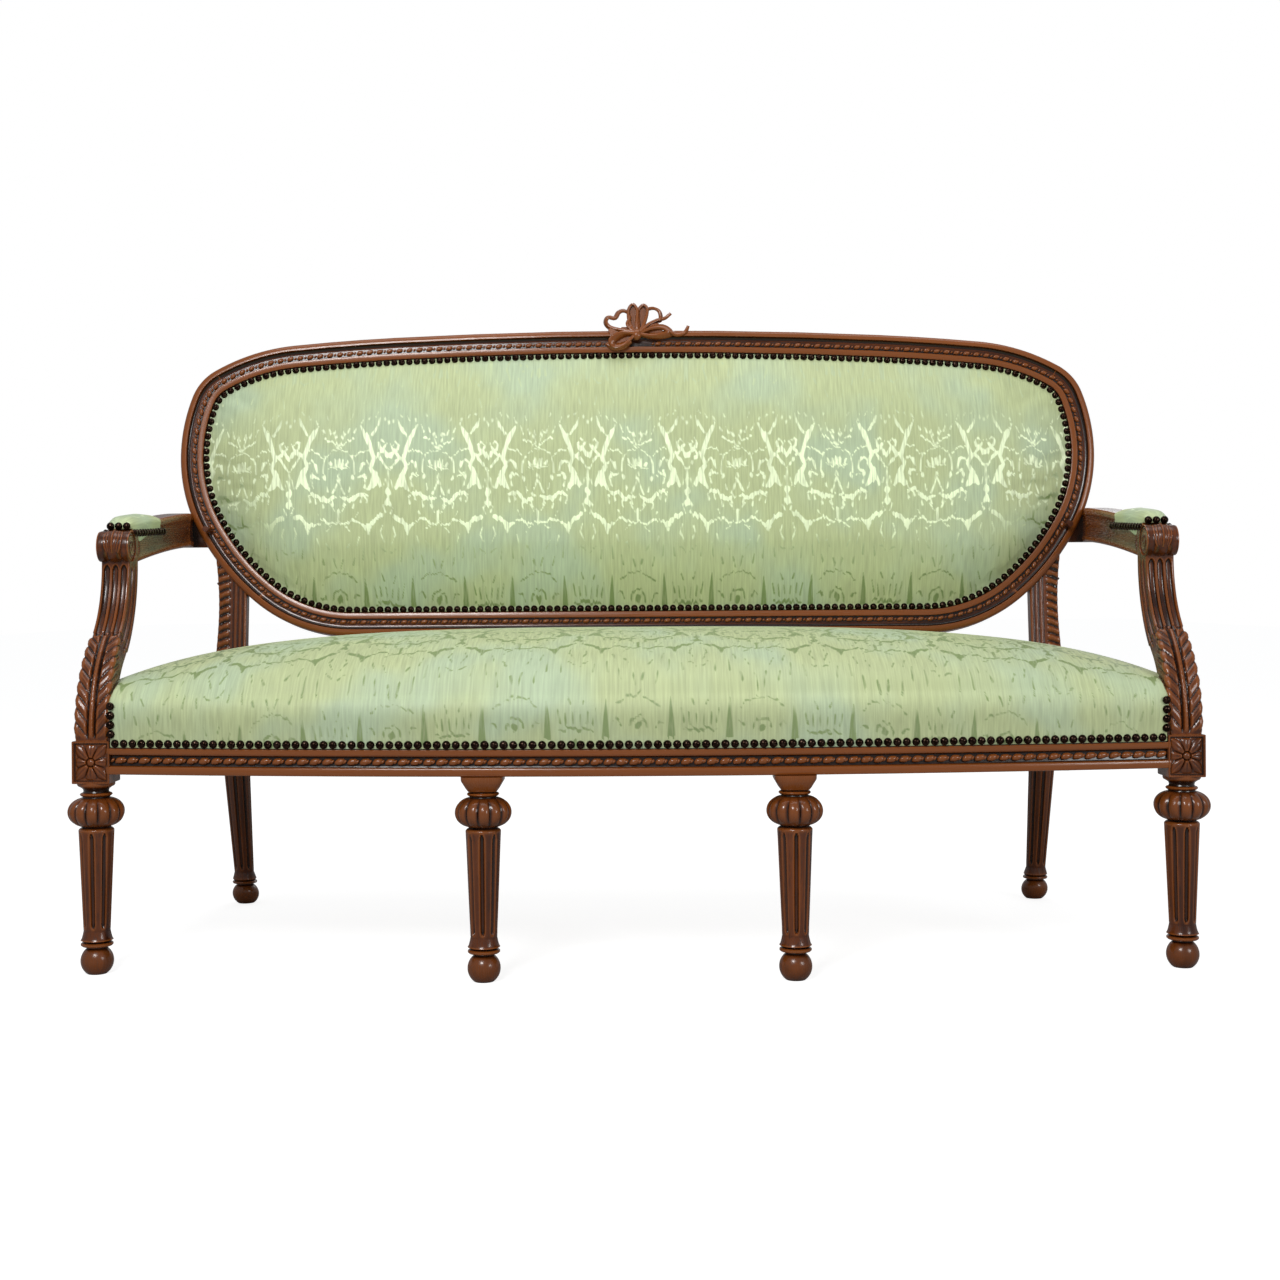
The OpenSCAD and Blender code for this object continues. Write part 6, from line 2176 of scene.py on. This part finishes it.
@dataclass
class ArmPads:
    """Small stuffed pads on the arm rails, with nailed sides."""

    cloth: bpy.types.Material
    arms: Arms
    middle: float = 203.0
    length: float = 176.0
    height: float = 12.0
    skirt: float = 18.0
    tilt: float = 0.05
    side_in: float = 2.9
    around: int = 88

    @property
    def half_x(self) -> float:
        """Half the pad's width at the arm rail's top."""
        return self.arms.wide / 2 - self.side_in

    def place(self, local: Array) -> Array:
        """Takes pad points (across, along, up) into the room."""
        cos, sin = math.cos(self.tilt), math.sin(self.tilt)
        x, y, z = local[..., 0], local[..., 1], local[..., 2]
        room = np.stack([x, self.middle + y * cos - z * sin, self.arms.top_at(self.middle) + y * sin + z * cos], -1)
        return self.arms.along(room) + SHIFT

    def rows(self) -> Array:
        """Lays the pad's rings, from the middle of its top outwards and down its sides.

        Returns:
            Points (across, along, up), one row for each ring.
        """
        t = np.linspace(0, math.tau, self.around, endpoint=False)
        half_x, half_y, low = self.half_x, self.length / 2, 2.0
        cx, cy = np.sign(np.cos(t)) * np.abs(np.cos(t)) ** 0.5, np.sign(np.sin(t)) * np.abs(np.sin(t)) ** 0.28
        on_side = smoothstep(0.80, 0.66, np.abs(cy) ** 2.2) * (np.abs(cx) > 0.8)
        rows = []
        for share in (0.012, 0.2, 0.4, 0.6, 0.76, 0.88):
            z = low + (self.height - low) * (1 - share ** 2.4) ** 0.5
            rows.append(np.stack([half_x * cx * share, half_y * cy * (0.3 + 0.7 * share), np.full(len(t), z)], 1))
        for out, side, end in ((2.4, 5.4, 4.6), (3.8, 1.0, 2.8), (3.4, -4.0, 1.8), (2.6, -9.0, 1.3),
                               (2.6, -self.skirt, 1.0), (0.2, -self.skirt, 1.0)):
            z = end - (10.0 if side < 0 else 4.0) * (cy < -0.3) + (side - end) * on_side
            rows.append(np.stack([(half_x + out) * cx, (half_y + out - 2) * cy, z], 1))
        return np.array(rows)

    def build(self) -> None:
        """Builds both pads."""
        points = self.rows()
        verts, faces = shell(points, capped=False)
        flat = verts[:, :2] - np.array([0.0, 36.0])
        flat[:, 0] += np.sign(flat[:, 0]) * np.clip(8 - verts[:, 2], 0, 30)
        held = np.zeros(points.shape[:2], bool)
        held[-4:] = True
        # Painted sheen of the pads: a lighter figure on the top, a darker one down the sides
        painted_sheen = ((-1, 0.4), (1, 0.7))
        for name, side in ARM_SIDES:
            (room, _), = mirrored([(self.place(verts), faces)], side)
            StuffedPiece("arm_cushion_" + name, room, faces, flat, held.ravel(), self.cloth, painted_sheen, 3.0, 3.0,
                         0.8).build("arm_pad_" + name)


@dataclass
class Nailing:
    """Close nails along every edge of the cloth."""

    bronze: bpy.types.Material
    rails: SeatRails
    pads: ArmPads
    pitch: float = 13.2
    end_free: float = 9.0
    side_count: int = 33

    def row(self, name: str, places: Array, frames: Array, node: str, seed: int) -> None:
        """Drives one set of nails."""
        nails = Repeater(1.0, 0.09, seed).build(name, nail_unit(), places, frames, self.bronze)
        finish_piece(nails, self.bronze, Slot.NAILS, node)

    def seat(self) -> None:
        """Nails the seat along the front and the sides, and up beside each arm post."""
        out = PLAN.rail_t / 2 - PLAN.fabric_in + PLAN.soft + PLAN.cover_t + 0.1
        count = round(2 * (PLAN.block_in - self.end_free) / self.pitch) + 1
        at, outwards = self.rails.front_line(count, PLAN.block_in - self.end_free, out)
        spots, turns = [np.column_stack([at, np.full(len(at), PLAN.nail_z)])], [self.rails.frames(outwards)]
        x = PLAN.block_in - 3.0
        y = float(PLAN.front_at(x, PLAN.bow_r + out))
        for _, side in ARM_SIDES:
            at, outwards = self.rails.side_line(self.side_count, side, out, self.end_free)
            bulges = (1.6, 4.0, 5.6, 6.2)
            rising = [(side * (x - 0.3 * k), y - bulge, PLAN.nail_z + self.pitch * (k + 1))
                      for k, bulge in enumerate(bulges)]
            spots += [np.column_stack([at, np.full(len(at), PLAN.nail_z)]), np.array(rising)]
            turns += [self.rails.frames(outwards),
                      self.rails.frames(np.array([[side * -0.18, -0.98]] * len(bulges)))]
        self.row("nails_of_seat", np.concatenate(spots) + SHIFT, np.concatenate(turns), "seat_nails", 11)

    def back(self) -> None:
        """Nails the back's panel and its outside cloth."""
        for name, inset, z, flip, pitch, node in (
                ("nails_of_back", 45.5, PLAN.soft - 8 + 2.65, 1.0, self.pitch, "back_nails"),
                ("nails_of_outside_back", 19.5, -37.8, -1.0, self.pitch * 1.5, "outside_nails")):
            count = int(OUTLINE.length(inset) / pitch)
            place, inward = OUTLINE.ring(inset, count)
            flat = np.column_stack([place, np.full(count, z)])
            self.row(name, OUTLINE.to_room(flat), OUTLINE.frames(inward, flip), node, 12)

    def arms(self) -> None:
        """Nails the arm pads along their sides and round their ends."""
        half_x, end, count = self.pads.half_x + 2.7, self.pads.length / 2, 12
        ys = np.linspace(6 - end, end - 6, count)
        across, along = np.array([1.0, 0, 0]), np.array([0, 1.0, 0])
        lines = [(np.column_stack([np.full(count, s * half_x), ys, np.full(count, -15.0)]), along, s * across)
                 for s in (-1, 1)]
        lines.append((np.column_stack([np.linspace(-12, 12, 3), np.full(3, -end - 0.8), np.full(3, -4.6)]),
                      across, -along))
        spots, turns = [], []
        for _, side in ARM_SIDES:
            flip = np.diag([side, 1.0, 1.0])
            for local, ahead, outward in lines:
                centre = self.pads.place(local)
                for c, x, z in zip(centre, self.pads.place(local + ahead) - centre,
                                   self.pads.place(local + outward) - centre):
                    x, z = x / np.linalg.norm(x), z / np.linalg.norm(z)
                    turn = flip @ np.stack([x, np.cross(z, x), z], 1)
                    turn[:, 0] *= side
                    spots.append(flip @ c)
                    turns.append(turn)
        self.row("nails_of_arm_pads", np.array(spots), np.array(turns), "arm_nails", 13)

    def build(self) -> None:
        """Drives every nail."""
        self.seat()
        self.back()
        self.arms()


# ---------------------------------------------------------------- inside the upholstery


@dataclass
class InnerLayers:
    """What the covers hide: webbing, springs, spring burlap and the two stuffings."""

    jute: bpy.types.Material
    burlap: bpy.types.Material
    hair: bpy.types.Material
    steel: bpy.types.Material
    seat: Seat
    strap: float = 52.0
    thick: float = 1.6
    columns: tuple = (-0.82, -0.46, -0.15, 0.15, 0.46, 0.82)
    rows: tuple = (-0.35, 0.0, 0.35)
    columns_reach: float = PLAN.corner_x - 70
    rows_middle: float = 230.0
    rows_reach: float = 400.0
    back_pitch: float = 114.4
    back_z: float = -9.6
    spring_r: float = 36.0
    waist_r: float = 12.0
    turns: float = 3.5
    wire: float = 2.0

    def ribbon(self, centre: Array, side: Array) -> tuple[Array, list]:
        """Sweeps a flat strap along a line.

        Args:
            centre: Points of the strap's middle.
            side: Direction across the strap.

        Returns:
            The vertices and faces.
        """
        across, up = np.linspace(-1, 1, 9) * self.strap / 2, np.array([0, 0, self.thick / 2])
        over = centre[:, None] + side * across[None, :, None] + up
        under = centre[:, None] + side * across[None, ::-1, None] - up
        return shell(np.concatenate([over, under], 1))

    def across(self, x: Array, y: float, z: Array) -> tuple[Array, list]:
        """Lays a strap that runs across."""
        return self.ribbon(np.column_stack([x, np.full(len(x), y), z]), np.array([0, 1.0, 0]))

    def along(self, x: float, y: Array, z: Array) -> tuple[Array, list]:
        """Lays a strap that runs the other way."""
        return self.ribbon(np.column_stack([np.full(len(y), x), y, z]), np.array([1.0, 0, 0]))

    def webbing(self) -> None:
        """Weaves the seat's straps."""
        z, wave = PLAN.rail_z - 1.0, 0.9
        cross, long = [], []
        for share in self.columns:
            x = share * self.columns_reach
            y = np.linspace(float(PLAN.front_at(x, PLAN.bow_r)) - 8, PLAN.seat_depth + 6, 60)
            cross.append(self.along(x, y, z + wave * np.cos(np.linspace(0, 3 * math.tau, 60))))
        for share in self.rows:
            y = self.rows_middle + share * self.rows_reach
            x = np.linspace(-1, 1, 120) * float(PLAN.side_at(y) - 24)
            long.append(self.across(x, y, z - 0.2 - wave * np.cos(x / 110.0 + share)))
        for name, parts, node in (("webbing_crosswise", cross, "seat_webbing_cross"),
                                  ("webbing_lengthwise", long, "seat_webbing_long")):
            self.layer_piece(name, [(v + SHIFT, f) for v, f in parts], self.jute, Slot.JUTE, node)

    def back_webbing(self) -> None:
        """Weaves the straps behind the back's panel, each as long as the frame allows."""
        line = OUTLINE.points + OUTLINE.inwards * 63.0
        parts, near, wave, pitch = [], 14, 0.7, self.back_pitch
        for k in range(-6, 7):
            at = line[np.abs(line[:, 0] - k * pitch) < near]
            if len(at) < 2 or np.ptp(at[:, 1]) < 200:
                continue
            y = np.linspace(at[:, 1].min() + 3, at[:, 1].max() - 3, 50)
            parts.append(self.along(k * pitch, y, self.back_z + wave * np.cos(y / pitch * math.pi)))
        for k in (-1, 0, 1):
            y = OUTLINE.height / 2 + k * pitch
            x = np.linspace(-1, 1, 120) * (np.abs(line[np.abs(line[:, 1] - y) < near, 0]).max() - 6)
            parts.append(self.across(x, y, self.back_z - wave * np.cos(x / pitch * math.pi + k * math.pi)))
        parts = [(OUTLINE.to_room(v), f) for v, f in parts]
        self.layer_piece("webbing_of_back", parts, self.jute, Slot.JUTE, "back_webbing")

    def springs(self) -> None:
        """Coils the twelve waisted springs."""
        t = np.linspace(0, 1, 150)
        radius = self.waist_r + (self.spring_r - self.waist_r) * np.abs(2 * t - 1) ** 1.3
        a, low, high = t * self.turns * math.tau, PLAN.rail_z + 2.2, PLAN.rail_top - 2.2
        parts = []
        for column in self.columns:
            for row in (self.rows[0], self.rows[-1]):
                x, y = column * self.columns_reach, self.rows_middle + row * self.rows_reach
                path = np.column_stack([x + radius * np.cos(a), y + radius * np.sin(a), low + (high - low) * t])
                verts, faces = self.coil(path)
                parts.append((verts + SHIFT, faces))
        self.layer_piece("coil_springs", parts, self.steel, Slot.SPRING, "seat_springs")

    def coil(self, path: Array) -> tuple[Array, list]:
        """Draws a round wire along a path.

        Args:
            path: Points of the wire's middle.

        Returns:
            The vertices and faces.
        """
        ahead = np.gradient(path, axis=0)
        ahead /= np.linalg.norm(ahead, axis=1, keepdims=True)
        side = np.cross(ahead, np.array([0, 0, 1.0]))
        side /= np.linalg.norm(side, axis=1, keepdims=True)
        up = np.cross(side, ahead)
        a = np.linspace(0, math.tau, 8, endpoint=False)
        ring = side[:, None] * np.cos(a)[None, :, None] + up[:, None] * np.sin(a)[None, :, None]
        return shell(path[:, None] + ring * self.wire)

    def layer(self, low: float, edge: float, crown: float, out: float) -> tuple[Array, list]:
        """Builds a layer in the seat's plan, flat below and domed above.

        Args:
            low: Height of its underside.
            edge: Height of its top at the edge.
            crown: Height of its top in the middle.
            out: Outset from the rails.

        Returns:
            The vertices and faces.
        """
        u, v = np.meshgrid(np.linspace(-1, 1, 61), np.linspace(-1, 1, 25), indexing="ij")
        x, y = self.seat.plan(u, v, out)
        dome = np.sqrt(1 - np.abs(u) ** 3) * (1 - np.abs(v) ** 2.5) ** 0.6
        verts, faces = closed_pair(np.stack([x, y, edge + (crown - edge) * dome], -1),
                                   np.stack([x, y, np.full_like(x, low)], -1))
        return self.seat.clear_posts(verts) + SHIFT, faces

    def layer_piece(self, name: str, parts: list[tuple[Array, list]], material: bpy.types.Material, slot: Slot,
                    node: str) -> bpy.types.Object:
        """Makes one hidden piece from skins and finishes it."""
        return finish_piece(mesh_piece(name, parts, smooth=60.0), material, slot, node)

    def spring_burlap(self) -> None:
        """Lays the burlap over the springs."""
        skin = self.layer(365.4, 366.6, 366.6, -14.0)
        cloth = self.layer_piece("spring_burlap", [skin], self.burlap, Slot.BURLAP, "seat_burlap")
        width, depth, _ = (skin[0].max(0) - skin[0].min(0)) * MM + 0.02

    def stuffing(self) -> None:
        """Lays the curled hair of the seat and of the back."""
        pad = BackPad(self.hair)
        grid, _ = pad.patch(62.0, 81, 31)
        rise = -3.0 + (pad.crown - 4.5) * pad.dome(81, 31)
        verts, faces = closed_pair(*(np.concatenate([grid, z[..., None]], -1)
                                     for z in (rise, np.full_like(rise, -5.0))))
        for name, skin, node in (("seat_hair", self.layer(368.4, 386.0, 470.0, -30.0), "seat_stuffing"),
                                 ("back_hair", (OUTLINE.to_room(verts), faces), "back_stuffing")):
            hair = self.layer_piece(name, [skin], self.hair, Slot.HAIR, node)

    def build(self) -> None:
        """Builds every hidden layer."""
        self.webbing()
        self.back_webbing()
        self.springs()
        self.spring_burlap()
        self.stuffing()


# ---------------------------------------------------------------- studio


@dataclass(frozen=True)
class Lamp:
    """A soft rectangular lamp, in watts and metres."""

    name: str
    power: float
    size: tuple[float, float]
    place: tuple[float, float, float]
    target: tuple[float, float, float] = (0, 0, 0.5)

    def build(self) -> None:
        """Hangs the lamp and turns it to what it lights."""
        light = bpy.data.lights.new(self.name, "AREA")
        light.shape = "RECTANGLE"
        light.size, light.size_y = self.size
        light.energy = self.power
        lamp = bpy.data.objects.new(self.name, light)
        lamp.location = self.place
        lamp.rotation_euler = (Vector(self.target) - Vector(self.place)).to_track_quat("-Z", "Y").to_euler()
        bpy.context.scene.collection.objects.link(lamp)


@dataclass
class Studio:
    """A plain pale floor, soft lamps and a white surround, and the camera where the photograph was taken."""

    camera_height: float = 0.537
    camera_back: float = 2.7364
    camera_aside: float = 0.0044
    focal_px: float = 1748.0
    image_px: float = 1280.0
    raise_px: float = 47.3
    roll_deg: float = 0.352
    yaw_deg: float = 0.026
    floor_grey: float = 0.42
    floor_glow: float = 0.85
    backdrop: float = 1.0
    ambient: float = 0.34
    mirrored_white: float = 0.04
    lamps: tuple[Lamp, ...] = (
        Lamp("key", 55.0, (1.0, 0.8), (-0.9, -2.6, 2.3)),
        Lamp("fill", 21.0, (0.8, 0.8), (2.3, -2.3, 1.3)),
        Lamp("top", 19.0, (2.6, 1.0), (0, -0.1, 2.7), (0, 0.05, 0.5)),
        Lamp("rear", 14.0, (2.4, 1.4), (0.6, 2.8, 1.8), (0, 0, 0.6)))

    def build(self) -> None:
        """Builds the stage, the lamps, the world and the camera."""
        self.floor()
        self.surround()
        for lamp in self.lamps:
            lamp.build()
        self.camera()

    def floor(self) -> None:
        """Builds the floor, which the camera sees as white apart from the settee's shadow."""
        mesh = bpy.data.meshes.new("studio_floor")
        mesh.from_pydata([(-9, -6, 0), (9, -6, 0), (9, 30, 0), (-9, 30, 0)], [], [(0, 1, 2, 3)])
        floor = link_piece("studio_floor", mesh)
        material, tree, shader = new_material("pale floor")
        shader.inputs["Base Color"].default_value = (*[self.floor_grey] * 3, 1.0)
        shader.inputs["Roughness"].default_value = 0.9
        shader.inputs["Specular IOR Level"].default_value = 0.0
        rays = add_node(tree, "ShaderNodeLightPath").outputs
        glow = Formula(tree, rays["Is Camera Ray"]) * self.floor_glow
        tree.links.new(glow.socket, shader.inputs["Emission Strength"])
        shader.inputs["Emission Color"].default_value = (1.0, 1.0, 1.0, 1.0)
        mesh.materials.append(material)

    def surround(self) -> None:
        """Fills the world with soft light, and with white where the camera sees it."""
        world = bpy.data.worlds.new("studio")
        world.use_nodes = True
        bpy.context.scene.world = world
        tree = world.node_tree
        tree.nodes.clear()
        rays = add_node(tree, "ShaderNodeLightPath").outputs
        seen = Formula(tree, rays["Is Camera Ray"]).high(Formula(tree, rays["Is Transmission Ray"]))
        seen = seen.high(Formula(tree, rays["Is Glossy Ray"]) * self.mirrored_white)
        soft = add_node(tree, "ShaderNodeBackground", {"Color": (0.96, 0.98, 1.0, 1.0), "Strength": self.ambient})
        white = add_node(tree, "ShaderNodeBackground", {"Color": (1.0, 1.0, 1.0, 1.0), "Strength": self.backdrop})
        mixed = add_node(tree, "ShaderNodeMixShader", {0: seen.socket, 1: soft.outputs[0], 2: white.outputs[0]})
        add_node(tree, "ShaderNodeOutputWorld", {0: mixed.outputs[0]})

    def camera(self) -> None:
        """Stands the level camera in front, with the shift that the photograph's framing needs."""
        data = bpy.data.cameras.new("photographer")
        data.sensor_fit = "HORIZONTAL"
        data.sensor_width = 36.0
        data.lens = self.focal_px / self.image_px * data.sensor_width
        data.shift_y = -self.raise_px / self.image_px
        data.dof.use_dof = False
        camera = bpy.data.objects.new("photographer", data)
        camera.location = (self.camera_aside, -self.camera_back, self.camera_height)
        camera.rotation_euler = (math.radians(90), math.radians(self.roll_deg), math.radians(self.yaw_deg))
        bpy.context.scene.collection.objects.link(camera)
        bpy.context.scene.camera = camera
        bpy.context.scene.view_settings.view_transform = "Standard"


def dress_hidden_nodes(materials: dict[str, bpy.types.Material]) -> None:
    """Gives every CAD node that stays its finish.

    Args:
        materials: Finish for each of the record's slots.
    """
    slots = {row["node"]: row["material_slot"] for row in frame["record"]["subparts"]}
    for name, node in frame["nodes"].items():
        node.data.materials.clear()
        node.data.materials.append(materials[slots[name]])


def main() -> None:
    """Builds the settee's pieces in order, then its studio."""
    logging.basicConfig(level=logging.INFO, format="%(name)s: %(message)s")
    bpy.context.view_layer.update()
    wood = PolishedWalnut().build()
    damask = SilkDamask().build()
    bronze = OxidisedBronze().build()
    jute = PlainCloth("jute webbing", "#b08d57", "#6b4f2a").build()
    burlap = PlainCloth("spring burlap", "#c8b48a", "#8a744b", 2.2).build()
    hair = PlainCloth("curled horsehair", "#3a2a1e", "#17100b", 1.8).build()
    steel = DrawnSteel().build()
    dress_hidden_nodes({
        "walnut": PolishedWalnut("walnut inside the frame", follows_grain=False).build(), "silk_damask": damask,
        "bronze_nails": bronze, "jute_webbing": jute, "burlap": burlap, "horsehair": hair, "spring_steel": steel,
        "screw_steel": DrawnSteel("cut steel screws").build()})
    BackFrame(wood).build()
    CrestBow(wood).build()
    rails = SeatRails(wood)
    rails.build()
    TurnedLeg(wood).build()
    RearLeg(wood).build()
    arms = Arms(wood)
    arms.build()
    seat = Seat(damask)
    seat.build()
    BackPad(damask).build()
    InnerLayers(jute, burlap, hair, steel, seat).build()
    pads = ArmPads(damask, arms)
    pads.build()
    Nailing(bronze, rails, pads).build()
    Studio().build()
    bpy.context.view_layer.update()


if __name__ == "__main__":
    main()
